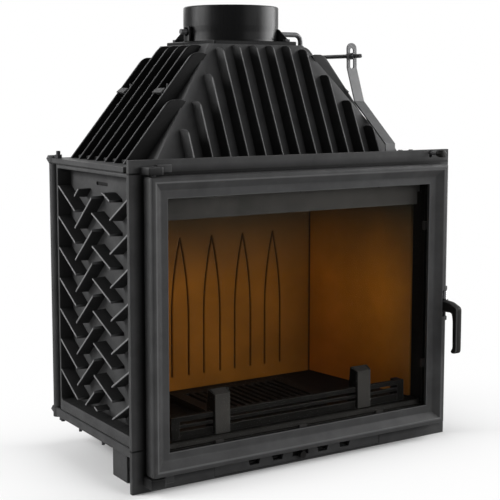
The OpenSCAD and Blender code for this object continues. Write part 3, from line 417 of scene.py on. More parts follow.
class Nodes:
    """Short calls for building one material's node tree."""

    def __init__(self, name: str) -> None:
        """Starts a material with a Principled shader.

        Args:
            name: the material's name.
        """
        self.mat = bpy.data.materials.new(name)
        self.mat.use_nodes = True
        self.tree = self.mat.node_tree
        self.shader = self.tree.nodes["Principled BSDF"]
        self.coords = self.add("ShaderNodeTexCoord").outputs["Object"]

    def add(self, kind: str, **values: object) -> bpy.types.Node:
        """Adds a node and sets its properties or, by name, its input values.

        Args:
            kind: Blender's node type.
            values: property or input names, with _ for a space in an input's name.

        Returns:
            The node.
        """
        node = self.tree.nodes.new(kind)
        for key, value in values.items():
            if hasattr(node, key):
                setattr(node, key, value)
            else:
                node.inputs[key.replace("_", " ")].default_value = value
        return node

    def link(self, source: Socket, target: Socket) -> None:
        """Joins two sockets."""
        self.tree.links.new(source, target)

    def put(self, value: Socket | float, target: Socket) -> None:
        """Sets an input to a number, or joins a socket to it.

        Args:
            value: the number or the socket.
            target: the input.
        """
        if isinstance(value, (int, float)):
            target.default_value = value
        else:
            self.link(value, target)

    def give(self, **values: Socket | float) -> bpy.types.Material:
        """Fills inputs of the Principled shader.

        Args:
            values: a number or a socket for each input's name, with _ for a space.

        Returns:
            The material.
        """
        for name, value in values.items():
            self.put(value, self.shader.inputs[name.replace("_", " ")])
        return self.mat

    def math(self, operation: str, *values: Socket | float) -> Socket:
        """Computes with sockets and numbers.

        Args:
            operation: name of the Math node's operation.
            values: its inputs in order.

        Returns:
            The result's socket.
        """
        node = self.add("ShaderNodeMath", operation=operation)
        for socket, value in zip(node.inputs, values):
            self.put(value, socket)
        return node.outputs["Value"]

    def off(self, value: Socket, place: float) -> Socket:
        """How far a coordinate lies from a place, to either side."""
        return self.math("ABSOLUTE", self.math("SUBTRACT", value, place))

    def beyond(self, wide: Socket, z: Socket, rim: Triple) -> Socket:
        """How far a point lies outside an upright rectangle, less than 0 inside.

        Args:
            wide: socket with the distance from the plane x = 0.
            z: socket with the height.
            rim: the rectangle's half width, middle and half height in metres.

        Returns:
            The distance's socket.
        """
        half, middle, tall = rim
        beside = self.math("SUBTRACT", wide, half)
        return self.math("MAXIMUM", beside, self.math("SUBTRACT", self.off(z, middle), tall))

    def xyz(self) -> tuple[Socket, ...]:
        """The three Object coordinates, in metres.

        Returns:
            The sockets of x, y and z.
        """
        split = self.add("ShaderNodeSeparateXYZ")
        self.link(self.coords, split.inputs["Vector"])
        return tuple(split.outputs)

    def noise(self, scale: float, detail: float = 3.0, rough: float = 0.55) -> Socket:
        """A noise value over the object.

        Args:
            scale: cells a metre.
            detail: octaves.
            rough: weight of the finer octaves.

        Returns:
            The noise value's socket.
        """
        node = self.add("ShaderNodeTexNoise", Scale=scale, Detail=detail, Roughness=rough)
        self.link(self.coords, node.inputs["Vector"])
        return node.outputs["Fac"]

    def placed(self, kind: str, name: str, change: Triple, **values: float) -> Socket:
        """A texture's value over the object through a Mapping node.

        Args:
            kind: Blender's type of the texture node.
            name: the Mapping node's input that is changed.
            change: what it is changed to.
            values: the texture's inputs.

        Returns:
            The value's socket.
        """
        place, node = self.add("ShaderNodeMapping"), self.add(kind, **values)
        place.inputs[name].default_value = change
        self.link(self.coords, place.inputs["Vector"])
        self.link(place.outputs["Vector"], node.inputs["Vector"])
        return node.outputs["Fac"]

    def ramp(self, value: Socket, low: Sequence[float] | float, high: Sequence[float] | float,
             start: float = 0.3, end: float = 0.7) -> Socket:
        """Spreads a value between two colours or two numbers.

        Args:
            value: the socket that drives it.
            low: result at and below start.
            high: result at and above end.
            start: lower end of the spread.
            end: upper end of the spread.

        Returns:
            The result's socket.
        """
        if isinstance(low, (int, float)):
            node = self.add("ShaderNodeMapRange")
            for name, number in zip(("From Min", "From Max", "To Min", "To Max"), (start, end, low, high)):
                node.inputs[name].default_value = number
            self.link(value, node.inputs["Value"])
            return node.outputs["Result"]
        node = self.add("ShaderNodeValToRGB")
        for element, place, colour in zip(node.color_ramp.elements, (start, end), (low, high)):
            element.position, element.color = place, (*colour, 1)
        self.link(value, node.inputs["Fac"])
        return node.outputs["Color"]

    def mix(self, share: Socket, a: Socket, colour: Sequence[float]) -> Socket:
        """Mixes a colour over another by a share from 0 to 1.

        Args:
            share: socket with the share.
            a: socket with the colour below.
            colour: the colour above.

        Returns:
            The mixed colour's socket.
        """
        node = self.add("ShaderNodeMix", data_type="RGBA")
        self.link(share, node.inputs["Factor"])
        self.link(a, node.inputs["A"])
        node.inputs["B"].default_value = (*colour, 1)
        return node.outputs["Result"]

    def mottle(self, scale: float, detail: float, tone: Triple, dark: float, light: float) -> Socket:
        """A colour that noise carries between a darker and a lighter one.

        Args:
            scale: noise cells a metre.
            detail: octaves.
            tone: the colour.
            dark: its factor where the noise is low.
            light: its factor where the noise is high.

        Returns:
            The colour's socket.
        """
        low, high = (tuple(c * factor for c in tone) for factor in (dark, light))
        return self.ramp(self.noise(scale, detail), low, high)

    def bump(self, height: Socket, depth: float, strength: float = 1.0,
             under: Socket | None = None) -> Socket:
        """Turns a height into a normal.

        Args:
            height: socket with heights from 0 to 1.
            depth: height of 1 in millimetres.
            strength: share of the effect.
            under: normal that the bump is laid on.

        Returns:
            The normal's socket.
        """
        node = self.add("ShaderNodeBump", Strength=strength, Distance=depth * MM)
        self.link(height, node.inputs["Height"])
        if under is not None:
            self.link(under, node.inputs["Normal"])
        return node.outputs["Normal"]

    def blend(self, share: Socket | float, first: Socket, second: Socket) -> None:
        """Mixes two shaders into the material's surface.

        Args:
            share: how much the second counts, from 0 to 1.
            first: the shader at share 0.
            second: the shader at share 1.
        """
        node = self.add("ShaderNodeMixShader")
        for value, target in zip((share, first, second), node.inputs):
            self.put(value, target)
        self.link(node.outputs["Shader"], self.tree.nodes["Material Output"].inputs["Surface"])


@dataclass(frozen=True)
class Finish:
    """What all finishes share: a name, and one material that is made once."""

    name: str

    def material(self) -> bpy.types.Material:
        """The finish's material, made on first use."""
        return bpy.data.materials.get(self.name) or self.build()

    def build(self) -> bpy.types.Material:
        """Makes the material; each kind of finish has its own."""
        raise NotImplementedError


@dataclass(frozen=True)
class Places:
    """Where the castings' paint is darkened, in metres: soot in the chamber, painted shade at its seams,
    beside the door and round the air panel, and the darker bars between the retainer's uprights.

    A triple is an upright rectangle's half width, middle and half height. The seams are two heights, and the
    other pairs are the start and the end of a soft border.
    """

    chamber_wide: Pair = (0.258, 0.264)
    chamber_front: Pair = (0.006, 0.014)
    chamber_floor: Pair = (0.06, 0.066)
    chamber_roof: Pair = (0.544, 0.549)
    seams: Pair = (0.075, 0.548)
    seam_border: Pair = (0.0008, 0.0022)
    door_rim: Triple = (0.325, 0.2875, 0.2565)
    door_border: Pair = (0.001, 0.018)
    air_panel: Triple = (0.185, 0.026, 0.022)
    panel_border: Pair = (0.0008, 0.002)
    upright_border: float = 0.0008


@dataclass(frozen=True)
class CastIron(Finish):
    """Heat-proof matt paint on sand-cast iron: mottled, grainy, darkened in its recesses with painted shade,
    lightened at its edges as wear and painted highlight.

    Sharp edges are shaded round to round_edges, in millimetres, and painted lighter there. Dark places are
    switched on by inside, for soot in the fire chamber and painted shade along its seams; by the door
    flag, for painted shade beside the door and round the air panel's joint; and by uprights, the middle
    and half width of what lies between the retainer's pairs of uprights, which is darker.
    """

    tone: Triple = (0.042, 0.042, 0.0425)
    rough: float = 0.5
    sheen: float = 0.03
    grain: float = 0.16
    round_edges: float = 0.0
    # colour of worn edges and of painted highlights on edges and tips
    wear_and_highlight: Triple = (0.17, 0.17, 0.172)
    # colour of soot in the chamber and of painted shade in recesses, seams and gaps
    soot_and_shade: Triple = (0.0045, 0.0045, 0.0045)
    inside: bool = False
    # painted shade beside the door and round the air panel
    painted_door_shade: bool = False
    uprights: Pair | None = None

    def masks(self, n: Nodes) -> list[Socket]:
        """Where soot or painted shade lies by place, and where the retainer's bars are darker.

        Args:
            n: the material's nodes.

        Returns:
            A share from 0 to 1 for each of the dark places that are switched on.
        """
        at, deep = Places(), 0.95
        x, y, z = n.xyz()
        wide, found = n.math("ABSOLUTE", x), []
        if self.inside:
            # soot inside the fire chamber
            share = n.math("MULTIPLY", n.ramp(wide, deep, 0.0, *at.chamber_wide),
                           n.ramp(y, 0.0, 1.0, *at.chamber_front))
            tall = n.math("MULTIPLY", n.ramp(z, 0.0, 1.0, *at.chamber_floor),
                          n.ramp(z, 1.0, 0.0, *at.chamber_roof))
            found.append(n.math("MULTIPLY", share, tall))
            # painted shade along the seams between the castings
            found += [n.ramp(n.off(z, seam), deep, 0.0, *at.seam_border) for seam in at.seams]
        if self.painted_door_shade:
            # painted shade beside the door, for the door's shadow on the frame
            found.append(n.ramp(n.beyond(wide, z, at.door_rim), 1.0, 0.0, *at.door_border))
            # painted shade in the joint round the air panel
            joint = n.math("ABSOLUTE", n.beyond(wide, z, at.air_panel))
            found.append(n.ramp(joint, deep, 0.0, *at.panel_border))
        if self.uprights:
            # the bars between the retainer's uprights are darker
            middle, half = self.uprights
            found.append(n.ramp(n.off(wide, middle), 0.0, 0.92, half, half + at.upright_border))
        return found

    def build(self) -> bpy.types.Material:
        """Paint from broad noise; painted shade, and wear with painted highlight, from the shape's own tints;
        soot and painted shade by place; grain and slow waves as bump.

        Where the normal shaded round leans away from the face's own, an edge is painted lighter, as wear and
        highlight: the share falls as their dot product goes from 0.72 to 0.99.

        Returns:
            The material.
        """
        n = Nodes(self.name)
        colour = n.mottle(26, 4, self.tone, 0.82, 1.18)
        # the shape's own tints: lighter as wear and painted highlight, darker as painted shade
        for name, above, most in (("rub_and_highlight", self.wear_and_highlight, 0.9), ("shade", self.soot_and_shade, 0.92)):
            share = n.add("ShaderNodeAttribute", attribute_name=name)
            colour = n.mix(n.ramp(share.outputs["Fac"], 0.0, most, 0.0, 1.0), colour, above)
        # soot and painted shade by place
        for share in self.masks(n):
            colour = n.mix(share, colour, self.soot_and_shade)
        under = None
        if self.round_edges:
            soft = n.add("ShaderNodeBevel", samples=6, Radius=self.round_edges * MM)
            plain = n.add("ShaderNodeNewGeometry")
            dot = n.add("ShaderNodeVectorMath", operation="DOT_PRODUCT")
            n.link(soft.outputs["Normal"], dot.inputs[0])
            n.link(plain.outputs["Normal"], dot.inputs[1])
            # edges painted lighter, as wear and highlight
            colour = n.mix(n.ramp(dot.outputs["Value"], 0.45, 0.0, 0.72, 0.99), colour, self.wear_and_highlight)
            under = soft.outputs["Normal"]
        waves = n.bump(n.noise(70, 2), 0.5, 0.35, under)
        return n.give(Base_Color=colour, Specular_IOR_Level=self.sheen,
                      Roughness=n.ramp(n.noise(160), self.rough - 0.06, self.rough + 0.07),
                      Normal=n.bump(n.noise(1400, 2, 0.6), self.grain, 0.8, waves))


@dataclass(frozen=True)
class BlackSteel(Finish):
    """Satin paint or bare metal on smooth rolled or drawn steel, with faint upright streaks."""

    tone: Triple = (0.0035, 0.0035, 0.0037)
    rough: float = 0.3
    sheen: float = 0.045
    metallic: float = 0.0
    streak: float = 420.0
    stretch: Triple = (1.0, 1.0, 0.08)

    def build(self) -> bpy.types.Material:
        """Nearly even colour, roughness from stretched noise, and a very shallow ripple.

        Returns:
            The material.
        """
        n = Nodes(self.name)
        streaks = n.placed("ShaderNodeTexNoise", "Scale", self.stretch, Scale=self.streak, Detail=2.0)
        return n.give(Base_Color=n.mottle(40, 3, self.tone, 0.85, 1.2), Metallic=self.metallic,
                      Specular_IOR_Level=self.sheen, Normal=n.bump(n.noise(30, 2), 0.3, 0.2),
                      Roughness=n.ramp(streaks, self.rough - 0.05, self.rough + 0.06))


@dataclass(frozen=True)
class Lining(Finish):
    """Fire chamber lining: warm ochre brown, mottled, darkened by soot and painted shade towards its head and
    its front edge, and by painted shade in its grooves.

    The darkening sets in from the plain height below up to head, and falls from its front share to 0 over
    front, two places on y.
    """

    tone: Triple = (0.31, 0.122, 0.014)
    soot_and_shade: Triple = (0.045, 0.048, 0.036)
    groove_shade: Triple = (0.008, 0.006, 0.005)
    plain_below: float = 0.29
    head: float = 0.462
    front: Pair = (0.02, 0.11)
    front_soot_and_shade: float = 0.6

    def build(self) -> bpy.types.Material:
        """Colour from noise, darkened as soot and painted shade by height and by depth, and as painted shade
        in the grooves that an attribute marks.

        Returns:
            The material.
        """
        n = Nodes(self.name)
        colour = n.ramp(n.noise(9, 4), tuple(c * 0.75 for c in self.tone), self.tone, 0.35, 0.65)
        _, y, z = n.xyz()
        # darker towards the head, as soot and painted shade
        colour = n.mix(n.ramp(z, 0.0, 1.0, self.plain_below, self.head), colour, self.soot_and_shade)
        # darker towards the front edge, as soot and painted shade
        colour = n.mix(n.ramp(y, self.front_soot_and_shade, 0.0, *self.front), colour, self.soot_and_shade)
        # painted shade in the grooves
        groove = n.add("ShaderNodeAttribute", attribute_name="groove")
        return n.give(Base_Color=n.mix(groove.outputs["Fac"], colour, self.groove_shade), Specular_IOR_Level=0.1,
                      Roughness=n.ramp(n.noise(120), 0.7, 0.9), Normal=n.bump(n.noise(900), 0.3, 0.7))


@dataclass(frozen=True)
class DoorGlass(Finish):
    """Clear heat-proof glass with a faint warm smoke tone and slight haze marks."""

    tint: Triple = (0.97, 0.96, 0.94)
    skin: float = 0.03
    body: Triple = (0.01, 0.01, 0.01)
    haze: Pair = (0.03, 0.07)
    sheen: float = 0.15

    def build(self) -> bpy.types.Material:
        """See-through but for a small even share of dark reflecting skin, so it stays clear at a slant.

        Returns:
            The material.
        """
        n = Nodes(self.name)
        clear = n.add("ShaderNodeBsdfTransparent")
        clear.inputs["Color"].default_value = (*self.tint, 1)
        n.shader.inputs["Base Color"].default_value = (*self.body, 1)
        n.blend(self.skin, clear.outputs["BSDF"], n.shader.outputs["BSDF"])
        return n.give(Roughness=n.ramp(n.noise(14), *self.haze), Specular_IOR_Level=self.sheen)


@dataclass(frozen=True)
class Rope(Finish):
    """Dark glass-fibre sealing rope: crossed strands and a little fuzz."""

    tone: Triple = (0.06, 0.058, 0.055)
    lay: float = 38.0

    def build(self) -> bpy.types.Material:
        """Two crossed wave patterns, turned by the strands' lay, make the braid's bump and shade.

        Returns:
            The material.
        """
        n = Nodes(self.name)
        braid = n.math("MAXIMUM", *(
            n.placed("ShaderNodeTexWave", "Rotation", (0, math.radians(turn), 0), Scale=95.0, Distortion=0.6)
            for turn in (self.lay, -self.lay)))
        dark = tuple(c * 0.4 for c in self.tone)
        return n.give(Base_Color=n.ramp(braid, dark, self.tone, 0.2, 0.9), Roughness=0.95,
                      Normal=n.bump(braid, 0.6))


IRON = CastIron("painted_iron")
IRON_EDGED = CastIron("painted_iron_edged", round_edges=1.2)
IRON_FRAME = CastIron("painted_iron_frame", round_edges=1.2, inside=True, painted_door_shade=True)
IRON_HEARTH = CastIron("painted_iron_hearth", round_edges=1.2, inside=True)
# the retainer's bars between the uprights are darker than its uprights
RETAINER = CastIron("dark_barred_iron", soot_and_shade=(0.002, 0.002, 0.002), round_edges=1.6, uprights=(0.1598, 0.0148))
IRON_DARK = CastIron("matt_black_iron", tone=(0.012, 0.0115, 0.011), round_edges=0.8)
OXIDE = CastIron("oxide_steel", tone=(0.045, 0.045, 0.047), rough=0.4, grain=0.05, round_edges=0.5)
COLLAR = BlackSteel("satin_black_steel")
SHEET = BlackSteel("black_sheet_steel", tone=(0.022, 0.022, 0.022), rough=0.5)
LEVER = BlackSteel("zinc_grey_steel", tone=(0.068, 0.068, 0.07), rough=0.45, sheen=0.15)
SPRING = BlackSteel("bright_spring_wire", tone=(0.42, 0.42, 0.43), rough=0.25, metallic=1.0)
LINING = Lining("ochre_lining")
# painted light: the lining's own material made much lighter, so the side walls show brighter
SIDE_LINING_PAINTED_LIGHT = Lining("ochre_side_lining_painted_light", tone=(0.78, 0.3, 0.024))
GLASS = DoorGlass("clear_door_glass")
ROPE = Rope("sealing_rope_braid")


# ---- sub-assemblies ------------------------------------------------------------------------------------


@dataclass
class Shell:
    """The firebox castings that keep the solids' own shapes, and the two recessed, ribbed side panels."""

    half: float = 342.0
    floor: float = 75.0
    top: float = 548.0
    front: float = 8.0
    groove: float = 319.0
    rear: float = 340.0
    depth: float = 26.0
    rib_low: float = 109.0
    rib_high: float = 508.0
    rib_pitch: float = 59.0
    rib_columns: tuple[Pair, ...] = ((12.5, -0.59), (39.0, 0.43), (52.5, -0.83), (15.0, 0.575))
    rib_steps: int = 25
    slot: tuple[float, float, float, float] = (150.0, 197.0, 516.0, 522.5)
    dressed: dict[str, Finish] = field(default_factory=lambda: {
        "front_frame": IRON_FRAME, "air_slider": IRON_DARK,
        **dict.fromkeys(("base_plate", "top_plate"), IRON_HEARTH),
        **dict.fromkeys(("air_panel", "back_plate", "front_feet", "rear_feet"), IRON_EDGED),
        **dict.fromkeys(("air_plenum", "ash_pan"), SHEET),
        **dict.fromkeys(("tie_rods", "tie_rod_nuts", "corner_bolts", "base_studs", "hood_bolts",
                         "collar_bolts", "air_panel_screws"), OXIDE)})

    def tray(self) -> Shape:
        """The left panel without ribs: rounded rectangles that run up the outside, over the rim, down the
        drafted wall of the recess to its floor, and on into the slot.

        A ring is (rectangle, inset, x, corner radius, painted shade), a rectangle (y0, y1, z0, z1).

        Returns:
            The closed panel.
        """
        x, floor = -self.half, -self.half + self.depth
        outer = (self.front, self.groove, self.floor, self.top)
        inner = (self.front + 10, self.groove - 6, self.floor + 20, self.top - 7)
        # last column: painted shade, dark round the outer rim at its joints, on the recess's wall and in the
        # slot
        table = [(outer, 0, floor + 8, 1, 1.0), (outer, 0, x + 2.2, 1, 1.0), (outer, 0.8, x + 0.6, 1.4, 0.8),
                 (outer, 2, x, 2, 0.0)]
        table += [(inner, d, at, 4 + d, soot_and_shade) for d, at, soot_and_shade in (
            (-0.8, x, 0.0), (0, x + 0.4, 0.0), (0.6, x + 1.4, 0.9), (2.2, floor - 2, 1.0),
            (3.2, floor - 0.5, 1.0), (5, floor, 0.8), (14, floor, 0.0))]
        table += [(self.slot, 0, floor + below, 3, soot_and_shade) for below, soot_and_shade in ((0, 0.0), (0.3, 1.0), (2, 1.0))]
        flat = np.array([rect_loop((y0 + d, z0 + d), (y1 - d, z1 - d), corner)
                         for (y0, y1, z0, z1), d, _, corner, _ in table])
        across, soot_and_shade = (np.array([ring[i] for ring in table], float) for i in (2, 4))
        points = np.concatenate([np.broadcast_to(across[:, None, None], flat.shape[:2] + (1,)), flat], -1)
        return loft(points, tint=np.stack([soot_and_shade, np.zeros(len(soot_and_shade))], 1)[:, None])

    def ribs(self) -> Shape:
        """The herringbone ribs: slanted bars, thicker at the root than at the tip, in four columns.

        A bar's section at y runs over its layers from root to tip and back, at z = middle + rise s -+ half
        thickness, with s from -1 to 1 across the column, cut level at the pattern's lower and upper limit.

        Returns:
            All bars of the left panel.
        """
        start, width = self.front + 12, (self.groove - 6 - self.front - 12) / 4
        tip, root = -self.half + 0.6, -self.half + self.depth + 1
        # x, half thickness, painted shade and lightening (wear and painted highlight) of each layer
        layers = np.array([(root, 2.8, 0.9, 0.0), (root - 3, 2.4, 0.9, 0.0), (tip + 1.4, 1.8, 0.75, 0.0),
                           (tip + 0.7, 1.6, 0.0, 0.9), (tip, 1.0, 0.0, 1.0)])
        there_and_back = np.concatenate([layers, layers[::-1]])
        s = np.linspace(-1, 1, self.rib_steps)
        shape = Shape()
        for c, (phase, slope) in enumerate(self.rib_columns):
            rise, lean = slope * width / 2, math.sqrt(1 + slope**2)
            for k in range(-1, 9):
                mid = self.rib_low - 50 + phase + k * self.rib_pitch
                low, high = (np.clip(mid + rise * s + side * layers[:, 1:2] * lean,
                                     self.rib_low, self.rib_high) for side in (-1, 1))
                keep = high[3] - low[3] > 0.05
                if np.count_nonzero(keep) < 2:
                    continue
                y = start + c * width + (s[keep] + 1) * width / 2
                z = np.concatenate([low, high[::-1]])[:, keep]
                ring = np.stack(np.broadcast_arrays(there_and_back[:, :1], y, z), -1)
                shape.add(loft(ring.transpose(1, 0, 2), tint=there_and_back[:, 2:]))
        return shape

    def build(self) -> None:
        """Dresses the kept solids and makes both side panels, each with its rear post, and their ribs."""
        for node, finish in self.dressed.items():
            dress(node, finish)
        panel, ribs, x = self.tray(), self.ribs(), -self.half
        panel.add(block((x + 17, self.groove - 1, self.floor), (x + 34, self.rear, self.top)))
        for side, shape in (("left", panel), ("right", panel.mirrored())):
            outlined(f"panel_{side}", shape, IRON, stands_for=[f"side_panel_{side}"])
        for side, shape in (("left", ribs), ("right", ribs.mirrored())):
            outlined(f"ribs_{side}", shape, IRON)


@dataclass
class Hood:
    """Pyramid hood: a hollow shell on a foot flange, front fins and side fins with draft and rounded tips."""

    foot: float = 558.0
    height: float = 214.0
    half_foot: float = 270.0
    half_top: float = 106.0
    front_foot: float = 58.0
    front_top: float = 151.0
    back: float = 342.0
    wall: float = 8.0
    axis_y: float = 246.0
    hole: float = 85.0
    pitch: float = 37.3
    side_start: float = 103.0
    side_pitch: float = 37.0
    front_fins: int = 12
    side_fins: int = 7
    front_depth: Pair = (30.0, 26.0)
    side_depth: Pair = (40.0, 28.0)
    below_top: float = 2.0
    last_drop: float = 21.0
    short_fin: float = 70.0
    per_side: int = 16
    levels: int = 6

    def section(self, z: float, grow: float) -> Array:
        """The hood's rectangle at height z as a loop with equally many points a side.

        Args:
            z: the height.
            grow: how far it is grown outwards.

        Returns:
            The loop as an array (points, 3).
        """
        t = (z - self.foot) / self.height
        hx = self.half_foot + (self.half_top - self.half_foot) * t + grow
        yf = self.front_foot + (self.front_top - self.front_foot) * t - grow
        yb = self.back + grow
        s = np.linspace(0, 1, self.per_side, endpoint=False)[:, None]
        corners = np.array([[-hx, yf], [hx, yf], [hx, yb], [-hx, yb]])
        flat = np.concatenate([a + (b - a) * s for a, b in zip(corners, np.roll(corners, -1, 0))])
        return level(flat, z)

    def shell(self) -> Shape:
        """Rings up the outside, in to the round hole, down the inside and back to the foot.

        The side walls, behind the fins, are darkened with painted shade, the back one only slightly, and the
        corners not at all; the two front corners are lightened by a painted highlight.

        Returns:
            The closed shell.
        """
        z0, z1, n = self.foot, self.foot + self.height, self.per_side
        outer = [self.section(z, 0) for z in np.linspace(z0, z1, self.levels)]
        inner = [self.section(z, -self.wall) for z in np.linspace(z1 - self.wall, z0, self.levels)]
        centre = np.array([0, self.axis_y])
        ray = outer[-1][:, :2] - centre
        circle = centre + ray / np.linalg.norm(ray, axis=1)[:, None] * self.hole
        edge = [level(circle, z) for z in (z1, z1 - self.wall)]
        rings = np.array(outer + edge + inner)
        between_corners = np.arange(4 * n) % n > 0
        tint = np.zeros((len(rings), 4 * n, 2))
        # painted shade between the side fins, a little on the back
        tint[:self.levels - 1, :, 0] = between_corners * np.repeat([0.0, 0.95, 0.1, 0.95], n)
        # painted highlight down the two front corners
        tint[:self.levels, [0, n], 1] = 0.25
        return loft(rings, closed=True, tint=tint)

    def line(self, z: Array | float, foot: float, lean: float) -> Array | float:
        """Where a straight line that starts at the hood's foot and leans inwards is at height z."""
        return foot + lean * (z - self.foot)

    def fin(self, foot_wall: float, run: float, depth: Pair, top: float, shade: float) -> Shape:
        """A fin in its own plane: coordinates (inward, across, height) as the shape's x, y and z.

        At height z the fin reaches from its edge line to the hood's wall. A ring runs along s, from 1 at the
        wall to 0 at the edge and back on the other flank, at c(s) = edge (1 - s) + wall s, and its half
        thickness shrinks towards the edge. Rings rise by a share of the crest's height, which falls as a
        quarter circle within the nose and dips a little at the wall; the last ones draw in to round it.

        Args:
            foot_wall: wall coordinate at the foot, growing inwards.
            run: how far the wall moves inwards for each unit of height.
            depth: fin depth at the hood's foot and top.
            top: height of the fin's top.
            shade: how far painted shade darkens its flanks.

        Returns:
            The closed fin.
        """
        lean = run + (depth[0] - depth[1]) / self.height
        # how far the fin is sunk into the wall, the nose's length, and the dip's length and depth
        sunk, nose, dip_length, dip_depth = 3, 10, 6, 2.2
        s = np.array([1, 0.92, 0.84, 0.7, 0.55, 0.42, 0.32, 0.25, 0.18, 0.12, 0.07, 0.035, 0.012, 0.0])
        half = np.interp(s, [0, 0.035, 0.12, 0.5, 1], [0.55, 1.15, 1.5, 2.0, 2.9])
        # painted shade on the flanks; the edge is lightened as wear and painted highlight
        soot_and_shade = np.interp(s, [0, 0.02, 0.06, 1], [0.0, 0.0, shade, shade])
        worn_and_highlit = np.interp(s, [0, 0.035, 0.07], [1.0, 0.9, 0.0])
        reach = (self.line(top, foot_wall, run) + sunk - self.line(top, foot_wall - depth[0], lean)) * s
        corner = np.clip(1 - reach / nose, 0, 1)
        dip = np.clip(1 - (reach[0] - sunk - reach) / dip_length, 0, 1) * dip_depth
        crest = top - nose * (1 - np.sqrt(1 - corner**2)) - dip
        rings, tint = [], []
        for share, lift, thin in ((0, 0, 1), (0.4, 0, 1), (0.8, 0, 1), (1, -1.4, 1), (1, -0.5, 0.8),
                                  (1, -0.1, 0.5), (1, 0, 0.12)):
            z = self.foot + share * (crest - self.foot) + lift
            c = self.line(z, foot_wall - depth[0], lean) * (1 - s) + (self.line(z, foot_wall, run) + sunk) * s
            flank = np.stack([c, half * thin, z], 1)
            rings.append(np.concatenate([flank, flank[::-1] * [1, -1, 1]]))
            # the rings drawing in over the crest lose their painted shade and are painted lighter, as
            # highlight
            shade_rub_highlight = np.stack([soot_and_shade * thin, np.maximum(worn_and_highlit, (1 - thin) * 0.7)], 1)
            tint.append(np.concatenate([shade_rub_highlight, shade_rub_highlight[::-1]]))
        return loft(np.array(rings), tint=np.array(tint))

    def fins(self) -> Shape:
        """All fins, each turned from its own plane to the front face or to a side face.

        A front fin ends where the sloping side cuts it, a side fin where the sloping front does. The last fin
        of each side is lower, and the first on the right is short.

        Returns:
            The fins as one shape.
        """
        shape = Shape()
        top = self.foot + self.height - self.below_top
        face = (self.front_top - self.front_foot) / self.height
        side = (self.half_foot - self.half_top) / self.height
        for k in range(self.front_fins):
            x = (k - (self.front_fins - 1) / 2) * self.pitch
            cut = top + self.below_top - (abs(x) + 19 - self.half_top) / side
            # painted shade on the front fins' flanks
            fin = self.fin(self.front_foot, face, self.front_depth, min(top, cut), 0.6)
            fin.verts = np.stack([fin.verts[:, 1] + x, fin.verts[:, 0], fin.verts[:, 2]], 1)
            shape.add(fin)
        for k in range(self.side_fins):
            y = self.side_start + k * self.side_pitch
            for s in (-1, 1):
                z = min(top, self.foot + (y - self.front_foot) / face + 8)
                if k == self.side_fins - 1:
                    z = top - self.last_drop
                elif k == 0 and s > 0:
                    z = self.foot + self.short_fin
                # deeper painted shade on the side fins' flanks
                fin = self.fin(-self.half_foot, side, self.side_depth, z, 0.95)
                fin.verts = np.stack([-s * fin.verts[:, 0], fin.verts[:, 1] + y, fin.verts[:, 2]], 1)
                shape.add(fin)
        return shape

    def build(self) -> None:
        """Makes the hood's shell with its foot flange and the fins, and dresses the lugs."""
        shell = self.shell()
        outer = rect_loop((-self.half_foot - 24, self.front_foot - 4), (self.half_foot + 24, self.back), 4)
        inner = rect_loop((-self.half_foot + 6, self.front_foot + 6), (self.half_foot - 6, self.back - 6), 4)
        z0, thick, edge = self.foot, 6, 1.2
        shell.add(stacked([(outer, z0), (outer, z0 + thick - edge), (shrink(outer, edge), z0 + thick),
                           (inner, z0 + thick), (inner, z0)]))
        outlined("hood_shell", shell, IRON, bevel=1.5, stands_for=["smoke_hood"])
        outlined("hood_fins", self.fins(), IRON, smooth=40)
        dress("lifting_lugs", IRON_EDGED)


